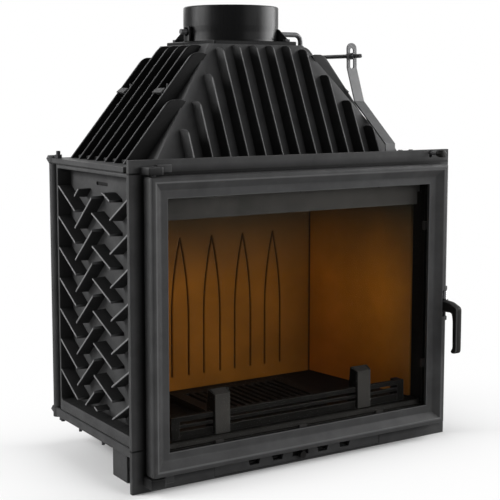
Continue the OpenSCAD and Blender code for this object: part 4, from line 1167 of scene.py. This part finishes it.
@dataclass
class Collar:
    """Flue collar: tube with a rounded rim, welded fillet, square flange, corner gussets and shaft bosses."""

    axis_y: float = 246.0
    flange_z: float = 772.0
    flange: float = 7.0
    radius: float = 93.0
    wall: float = 4.0
    step: float = 1.0
    step_z: float = 808.0
    height: float = 67.0
    shaft_z: float = 797.0

    def build(self) -> None:
        """Makes the collar and dresses the damper inside it."""
        y, z0, z1, b = self.axis_y, self.flange_z, self.flange_z + self.flange, self.radius - self.wall
        top, r, w, edge = z1 + self.height, self.radius, self.radius - self.step, 1.2
        profile = [[w, z1 + 2.5], [w, self.step_z - 12], [r - 0.1, self.step_z], [r, self.step_z + 8],
                   [r, top - 2], [r - 1.5, top], [b, top], [b, z0 + 1], [w, z0 + 1], [w + 0.6, z1 + 0.4]]
        shape = turned(profile, (0, y, 0), sides=128, round_to=0.6, hollow=True)
        square = rect_loop((-r, y - r), (r, y + r), 3, 11)
        turn = np.arctan2(square[:, 1] - y, square[:, 0])
        hole = np.stack([b * np.cos(turn), y + b * np.sin(turn)], 1)
        shape.add(stacked([(square, z0), (square, z1 - edge), (shrink(square, edge), z1), (hole, z1),
                           (hole, z0)]))
        side = soften([[r - 1, z1 - 1], [r + 23, z1 - 1], [r + 23, z1 + 2], [r + 3, z1 + 24],
                       [r - 1, z1 + 24]], [0.5, 0.5, 1.5, 2, 0.5])
        for angle in np.radians([135, 315]):
            gusset = plate(side, -2.5, 2.5, Plane.XZ, 0.8)
            along, across, height = gusset.verts.T
            gusset.verts = np.stack([along * math.cos(angle) - across * math.sin(angle),
                                     y + along * math.sin(angle) + across * math.cos(angle), height], 1)
            shape.add(gusset)
        bore, boss, end = 5.1, 10, self.shaft_z + 10
        pad = soften([[y - boss, z1 - 1], [y + boss, z1 - 1], [y + boss, end], [y - boss, end]],
                     [0.3, 0.3, 3, 3])
        for s in (-1, 1):
            ends = [[bore, s * (b - 0.4)], [boss, s * (b - 0.4)], [boss, s * (r + 6)], [9, s * (r + 7)],
                    [bore, s * (r + 7)]]
            shape.add(turned(ends, (0, y, self.shaft_z), axis=0, round_to=0.6, hollow=True))
            shape.add(plate(pad, *sorted((s * (r + 2), s * (r + 7))), Plane.YZ))
        outlined("collar", shape, COLLAR, smooth=40, stands_for=["flue_collar"])
        dress("damper_plate", IRON_DARK)


@dataclass
class DamperControl:
    """Rocking lever with its knob, the link rod and the damper shaft."""

    knob_x: float = 303.5
    knob_y: float = -33.0
    knob_z: float = 564.5

    def build(self) -> None:
        """Dresses the steel pieces and turns a faceted knob with a grooved collar."""
        for node in ("rocker_lever", "link_rod", "link_nuts", "damper_shaft", "rocker_brackets"):
            dress(node, LEVER)
        c = (self.knob_x, self.knob_y, self.knob_z)
        neck = [[5.6, 7.6], [5.0, 8], [5.0, 9.4], [5.5, 10], [5.5, 11], [0, 11]]
        grip = [[0, -7], [5.6, -7], [7.2, -6.2], [8, -4.8], [8, 4.4], [7.4, 6], [5.6, 6.8]]
        knob = turned(grip + neck, c, axis=1, sides=6)
        round_part = turned([[0, 6.4], [5.6, 6.4]] + neck, c, axis=1, sides=32)
        outlined("lever_knob", knob.add(round_part), IRON_DARK, Body.ROCKER, bevel=0.6,
                 stands_for=["control_knob"])


@dataclass
class Door:
    """Door casting with its moulding, the glass, the seals, the clips and the hinge lugs."""

    half: float = 325.0
    low: float = 31.0
    high: float = 544.0
    face: float = -31.5
    back: float = -4.0
    corner: float = 3.5
    notch: Pair = (245.0, 296.5)
    notch_depth: float = 10.5
    profile: tuple[Triple, ...] = (
        (0, -31.5, 7.5), (10, -31.5, 2.4), (24, -19.5, 3.0), (38, -19.5, 1.4), (38, -14, 0.6), (30, -14, 0.4),
        (30, -4, 0.6), (23, -4, 0.5), (23, -8, 0.5), (15, -8, 0.5), (15, -4, 0.5), (0, -4, 1.2))
    # profile corners painted lighter as wear and highlight; the corner from which, round the back, it is
    # darker
    rubbed_and_highlit: tuple[int, ...] = (1, 3)
    darkened_from: int = 4
    bend: int = 4
    seat: float = 0.43
    rope_inset: float = 19.0
    rope: Pair = (3.4, 3.5)
    rope_corner: float = 26.0
    lug: Pair = (-329.0, -299.0)

    def stations(self) -> list[tuple[Array, Array, Array, bool]]:
        """Stations round the door's edge, five at each corner and four at the notch.

        Returns:
            For each its point, its outward normal, the way outwards of its sides, and whether it is notched.
        """
        found = []
        mid = (self.low + self.high) / 2
        reach = np.array([self.half, (self.high - self.low) / 2])
        for turn, signs in ((0, (1, 1)), (90, (-1, 1)), (180, (-1, -1)), (270, (1, -1))):
            centre = np.array([0, mid]) + np.array(signs) * (reach - self.corner)
            for a in np.radians(turn + np.linspace(0, 90, 5)):
                found.append((centre, np.array([math.cos(a), math.sin(a)]), np.array(signs, float), False))
        edge, (low, high) = np.array([1.0, 0.0]), self.notch
        for z, cut in ((low, False), (low, True), (high, True), (high, False)):
            found.append((np.array([self.half - self.corner, z]), edge, edge, cut))
        return found

    def casting(self) -> Shape:
        """The moulding, whose profile is (inset, y, cut-back of the corner) all the way round.

        With r the corner's radius, at inset d a station's point is c + n max(r - d, 0) - s max(d - r, 0).
        Within the notch nothing is less inset than the notch's depth. Two of the profile's corners are
        painted lighter, as wear and highlight, and from a later corner round the back the casting is darker.

        Returns:
            The closed casting.
        """
        section = soften([p[:2] for p in self.profile], [p[2] for p in self.profile], self.bend)
        # lighter corners as wear and painted highlight, darker from one corner round the back
        tint, each = np.zeros((len(section), 2)), self.bend + 1
        for corner in self.rubbed_and_highlit:
            tint[corner * each + 1:(corner + 1) * each - 1, 1] = 0.3
        tint[self.darkened_from * each:, 0] = 0.9
        rings = []
        for centre, normal, signs, cut in self.stations():
            d, y = section[:, 0].copy(), section[:, 1].copy()
            if cut:
                y = np.where(d < self.notch_depth, np.maximum(y, self.face + self.seat), y)
                d = np.maximum(d, self.notch_depth)
            flat = (centre + normal * np.maximum(self.corner - d, 0)[:, None]
                    - signs * np.maximum(d - self.corner, 0)[:, None])
            rings.append(np.column_stack([flat[:, 0], y, flat[:, 1]]))
        return loft(np.array(rings), closed=True, tint=tint)

    def seal(self) -> Shape:
        """The rope: a flattened circle carried round the groove on rounded corners.

        Returns:
            The closed loop of rope.
        """
        a = np.linspace(0, 2 * math.pi, 12, endpoint=False)
        rings = []
        for d, y in zip(self.rope_inset + self.rope[0] * np.cos(a), self.back + self.rope[1] * np.sin(a)):
            loop = rect_loop((d - self.half, self.low + d), (self.half - d, self.high - d),
                             self.rope_corner - d)
            rings.append(level(loop, y)[:, [0, 2, 1]])
        return loft(np.array(rings), closed=True)

    def lugs(self) -> Shape:
        """Both hinge lugs: blocks with one chamfered front edge, each beside a narrow step of the casting.

        Painted shade darkens them, fully on the faces towards the door, as the door's shadow.

        Returns:
            The two lugs as one shape.
        """
        shape = Shape()
        (left, right), front, foot = self.lug, self.face, -0.1
        for z0, z1, lift in ((self.high + 3, self.high + 16, 2.5), (self.low - 18, self.low - 1, -2.5)):
            outline = soften([[left, foot], [left, front], [right - 4, front], [right, front + 4],
                              [right, foot]], [0.4, 2.6, 1.0, 1.0, 0.4], 4)
            # painted shade over the whole lug
            lug = plate(outline, z0, z1, Plane.XY, 1.3, 0.5)
            # painted shadow on the face towards the door
            shadowed_by_door = np.abs(lug.verts[:, 2] - (z0 if lift > 0 else z1)) < 1.4
            lug.tint[shadowed_by_door] = (1, 0)
            shape.add(lug)
            shape.add(block((right - 1, -7, z0 + lift), (right + 27, foot, z1 + lift), 1.2))
        return shape

    def build(self) -> None:
        """Makes the casting with the ears for the handle's pin, the rope and the lugs; dresses the rest."""
        casting, tall = self.casting(), 8
        for z in (self.notch[0] - tall, self.notch[1]):
            ear = [[0, z], [4.2, z], [5, z + 0.8], [5, z + tall - 0.8], [4.2, z + tall], [0, z + tall]]
            casting.add(turned(ear, (self.half, -25, 0)))
        outlined("door_casting", casting, IRON, body=Body.DOOR, merge=True, stands_for=["door_frame"])
        outlined("seal_rope", self.seal(), ROPE, Body.DOOR, stands_for=["door_rope"])
        outlined("lug_pair", self.lugs(), IRON, stands_for=["hinge_lugs"])
        dress("door_glass", GLASS)
        dress("glass_gasket", ROPE)
        for node in ("glass_clips", "clip_screws", "handle_pin", "hinge_pins", "latch_catch", "catch_screws",
                     "latch_finger"):
            dress(node, OXIDE)


@dataclass
class Handle:
    """The door handle: a hub on the upright pin, a hanging grip, and the coil spring above the hub."""

    x: float = 325.0
    y: float = -25.0
    z: float = 265.0
    hub: float = 7.5
    hub_height: float = 23.0
    grip: float = 89.0
    front: float = -69.5
    coil: float = 4.8
    wire: float = 0.9
    curls: int = 4
    spring_top: float = 296.5

    def lever(self) -> Shape:
        """The grip as one plate with a smoothly rounded outline in (y, z), and the flat arm behind the pin.

        Returns:
            The grip and the arm as one shape.
        """
        lo, hi, f, y = self.z - self.hub_height / 2, self.z + self.hub_height / 2, self.front, self.y
        end = lo - self.grip
        points = [[y, lo + 3], [y - 8, lo + 1], [f + 18, lo + 2], [f + 15, lo - 2], [f + 13, lo - 12],
                  [f + 12, end + 22], [f + 16, end + 17], [f + 16.5, end + 13], [f + 12, end + 11],
                  [f + 3, end + 13], [f, end + 18], [f, hi - 12], [f + 3, hi - 8], [f + 22, hi - 1],
                  [y - 7, hi], [y, hi]]
        shape = plate(soften(points, 5.0, 4), self.x - 8, self.x + 6, Plane.YZ, 2.6)
        return shape.add(block((self.x - 1, y, lo + 2), (self.x + 4, y + 12.7, hi - 2), 0.6))

    def spring(self) -> Shape:
        """A round wire on the helix (r cos a, r sin a, z0 + rise a), with straight ends along the pin.

        Returns:
            The closed wire.
        """
        end = 0.3 + 2 * self.wire
        z0, z1 = self.z + self.hub_height / 2 + end, self.spring_top - end
        a = np.linspace(0, 2 * math.pi * self.curls, 24 * self.curls + 1)
        path = np.stack([self.x + self.coil * np.cos(a), self.y + self.coil * np.sin(a),
                         np.linspace(z0, z1, len(a))], 1)
        tail = np.array([0, 0, 2 * self.wire])
        return tube(np.vstack([path[0] - tail, path, path[-1] + tail]), self.wire, 10)

    def build(self) -> None:
        """Makes the handle and its spring."""
        lo, hi = self.z - self.hub_height / 2, self.z + self.hub_height / 2
        hub = [[3.2, lo], [self.hub, lo], [self.hub, hi], [3.2, hi]]
        shape = self.lever().add(turned(hub, (self.x, self.y, 0), round_to=1.4, hollow=True))
        outlined("grip_lever", shape, IRON_DARK, Body.HANDLE, smooth=50,
                 stands_for=["door_handle"])
        outlined("coil_spring", self.spring(), SPRING, Body.DOOR, smooth=60,
                 stands_for=["handle_spring"])


@dataclass
class FireChamber:
    """The lining with its pointed grooves, and the grate, lintel, baffle and retainer."""

    half: float = 254.0
    face: float = 322.0
    back: float = 339.7
    low: float = 75.3
    high: float = 470.0
    pitch: float = 75.0
    apex: float = 387.0
    rise: float = 165.0
    reach: float = 19.5
    arches: tuple[int, ...] = (-2, -1, 0, 1, 2)
    deep: float = 3.5
    narrow: float = 1.6
    corner: Pair = (243.0, 251.0)
    grid: tuple[int, int, int] = (90, 20, 150)

    def back_wall(self) -> tuple[Shape, Array]:
        """The back liner as a depth over a grid of (x, z).

        A groove follows a pointed arch: with u running from 0 at the apex to 1 where the legs run straight
        down, its half width is reach * (1 - (1 - u)^2). The depth at a point is deep * exp(-(d / narrow)^2),
        where d is the distance from the arch. A channel runs up near both sides. The lining is painted darker
        by the same depth, as shade in the grooves and the channel. The grid is finer near the arches: it has
        (all along x, near an arch's side, along z) places.

        Returns:
            The closed panel, and for each vertex how deep in a groove it lies, from 0 to 1.
        """
        wide, near, tall = self.grid
        x = np.unique(np.concatenate([np.linspace(-self.half, self.half, wide)] + [
            k * self.pitch + s * np.linspace(0, self.reach + 4, near) for k in self.arches for s in (-1, 1)]))
        z = np.linspace(self.low, self.high, tall)
        gx, gz = np.meshgrid(x, z)
        groove = np.zeros_like(gx)
        u = np.clip((self.apex - gz) / self.rise, 0, 1)
        half = self.reach * (1 - (1 - u) ** 2)
        slope = 2 * self.reach * (1 - u) / self.rise
        inside = (gz < self.apex + 2) & (gz > self.low + 27)
        for k in self.arches:
            d = np.abs(np.abs(gx - k * self.pitch) - half) / np.sqrt(1 + slope**2)
            groove = np.maximum(groove, np.exp(-((d / self.narrow) ** 2)) * inside)
        across = np.abs(gx)
        channel = np.clip((across - self.corner[0]) / 3, 0, 1) * np.clip((self.corner[1] - across) / 2, 0, 1)
        groove = np.maximum(groove, channel * 0.9)
        front = np.stack([gx, self.face + self.deep * groove, gz], -1).reshape(-1, 3)
        rows, cols = len(z), len(x)
        faces = grid_faces(rows, cols, wrap_cols=False)
        rim = np.concatenate([np.arange(cols), np.arange(2 * cols - 1, rows * cols, cols),
                              np.arange(rows * cols - 2, (rows - 1) * cols - 1, -1),
                              np.arange((rows - 2) * cols, 0, -cols)])
        behind = front[rim] * [1, 0, 1] + [0, self.back, 0]
        n, m = len(front), len(rim)
        j, after = np.arange(m), (np.arange(m) + 1) % m
        faces += np.stack([rim, rim[after], n + after, n + j], 1).tolist()
        faces.append((n + j).tolist())
        return Shape(np.vstack([front, behind]), faces), np.concatenate([groove.ravel(), np.zeros(m)])

    def build(self) -> None:
        """Makes the back wall and dresses the chamber's other pieces."""
        shape, depth = self.back_wall()
        wall = outlined("back_wall", shape, LINING, stands_for=["back_liner"])
        # the grooves' depth paints shade into the lining
        mark(wall.data, "groove", depth)
        # side liners and baffle take the lining painted lighter, as painted light
        for node in ("side_liners", "baffle"):
            dress(node, SIDE_LINING_PAINTED_LIGHT)
        dress("lintel", IRON_EDGED)
        dress("log_retainer", RETAINER)
        dress("fire_grate", IRON_DARK)


# ---- studio --------------------------------------------------------------------------------------------


@dataclass
class Studio:
    """Pale floor, white surroundings, soft lamps and the camera at the photograph's place."""

    camera_at: Triple = (-1.2230, -1.7415, 0.6895)
    heading: float = 32.36
    down: float = 6.63
    lens: float = 84.69
    shift: Pair = (0.007, -0.05)
    ambient: float = 0.22
    footprint: Pair = (0.355, 0.17)
    fade: float = -3.5
    floor_half: float = 6.0
    floor_drop: float = -0.0004
    aim: Triple = (0.0, 0.15, 0.45)
    lamps: tuple[tuple[str, Triple, Pair, float], ...] = (
        ("right_strip", (2.4, -0.7, 1.45), (0.7, 2.0), 45),
        ("left_panel", (-2.6, 1.2, 1.5), (1.6, 1.6), 92),
        ("front_fill", (1.2, -3.0, 1.3), (2.2, 1.6), 54),
        ("rear_fill", (0.6, 3.0, 1.8), (2.0, 1.6), 18))
    cards: tuple[tuple[str, Triple, Pair, float], ...] = (
        ("right_card", (2.5, -0.6, 1.2), (2.6, 2.2), 330),
        ("left_card", (-2.4, 1.1, 1.4), (2.4, 2.0), 185))

    def camera(self) -> None:
        """Places the camera; the heading turns from +Y towards +X."""
        data = bpy.data.cameras.new("camera")
        data.lens, data.sensor_width, data.clip_end = self.lens, 36.0, 60.0
        data.shift_x, data.shift_y = self.shift
        camera = bpy.data.objects.new("camera", data)
        yaw, pitch = math.radians(self.heading), math.radians(self.down)
        look = Vector((math.sin(yaw) * math.cos(pitch), math.cos(yaw) * math.cos(pitch), -math.sin(pitch)))
        camera.location = self.camera_at
        camera.rotation_euler = look.to_track_quat("-Z", "Y").to_euler()
        bpy.context.scene.collection.objects.link(camera)
        bpy.context.scene.camera = camera

    def seen(self, tree: bpy.types.NodeTree) -> Socket:
        """One where a camera, glossy or transmission ray looks, zero where surfaces gather light.

        Args:
            tree: the node tree of the world or of a material.

        Returns:
            The value's socket.
        """
        rays = tree.nodes.new("ShaderNodeLightPath")
        value = rays.outputs["Is Camera Ray"]
        for name in ("Is Glossy Ray", "Is Transmission Ray"):
            most = tree.nodes.new("ShaderNodeMath")
            most.operation = "MAXIMUM"
            tree.links.new(value, most.inputs[0])
            tree.links.new(rays.outputs[name], most.inputs[1])
            value = most.outputs["Value"]
        return value

    def world(self) -> None:
        """White for what the camera, mirrors and glass see; a dimmer grey as light."""
        world = bpy.data.worlds.new("studio")
        bpy.context.scene.world = world
        world.use_nodes = True
        tree = world.node_tree
        strength = tree.nodes.new("ShaderNodeMapRange")
        strength.inputs["To Min"].default_value, strength.inputs["To Max"].default_value = self.ambient, 1.0
        tree.links.new(self.seen(tree), strength.inputs["Value"])
        background = tree.nodes["Background"]
        background.inputs["Color"].default_value = (1, 1, 1, 1)
        tree.links.new(strength.outputs["Result"], background.inputs["Strength"])

    def floor(self) -> None:
        """A large pale floor that takes the object's shadow and goes over into white away from it.

        White takes over by 1 - a^fade, where a is how many times further out than the footprint a point lies.
        """
        mesh = bpy.data.meshes.new("floor")
        corners = np.array([[-1, -1], [1, -1], [1, 1], [-1, 1]]) * self.floor_half
        mesh.from_pydata(level(corners, self.floor_drop).tolist(), [], [[0, 1, 2, 3]])
        floor = bpy.data.objects.new("floor", mesh)
        bpy.context.scene.collection.objects.link(floor)
        n = Nodes("pale_floor")
        n.give(Base_Color=n.ramp(n.noise(2.0), (0.86, 0.86, 0.86), (0.9, 0.9, 0.9)), Roughness=0.9,
               Specular_IOR_Level=0.1)
        x, y, _ = n.xyz()
        half, middle = self.footprint
        away = n.math("MAXIMUM", n.math("DIVIDE", n.math("ABSOLUTE", x), half),
                      n.math("DIVIDE", n.off(y, middle), middle))
        fading = n.math("POWER", n.math("MAXIMUM", away, 1.0), self.fade)
        share = n.math("MULTIPLY", n.math("SUBTRACT", 1.0, fading), self.seen(n.tree))
        n.blend(share, n.shader.outputs["BSDF"], n.add("ShaderNodeEmission").outputs["Emission"])
        mesh.materials.append(n.mat)

    def lamp(self, name: str, place: Triple, size: Pair, power: float, card: bool) -> None:
        """Adds a rectangular soft lamp that faces the object.

        Args:
            name: the lamp's name.
            place: where it hangs, in metres.
            size: width and height in metres.
            power: power in watts.
            card: whether it only shows as a reflection, as a white card beside the set does.
        """
        data = bpy.data.lights.new(name, "AREA")
        data.shape, data.size, data.size_y, data.energy = "RECTANGLE", size[0], size[1], power
        lamp = bpy.data.objects.new(name, data)
        lamp.location = place
        lamp.visible_diffuse = not card
        lamp.rotation_euler = (Vector(self.aim) - Vector(place)).to_track_quat("-Z", "Y").to_euler()
        bpy.context.scene.collection.objects.link(lamp)

    def build(self) -> None:
        """Sets up the whole studio."""
        bpy.context.scene.view_settings.view_transform = "Standard"
        self.camera()
        self.world()
        self.floor()
        for lamps, card in ((self.lamps, False), (self.cards, True)):
            for name, place, size, power in lamps:
                self.lamp(name, place, size, power, card)


def main() -> None:
    """Builds the sub-assemblies in order, whose pieces the log names."""
    logging.basicConfig(level=logging.INFO)
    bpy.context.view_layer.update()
    Studio().build()
    for assembly in (Shell(), Hood(), Collar(), DamperControl(), Door(), Handle(), FireChamber()):
        assembly.build()
        log.info("built %s", type(assembly).__name__)
    bpy.context.view_layer.update()


if __name__ == "__main__":
    main()
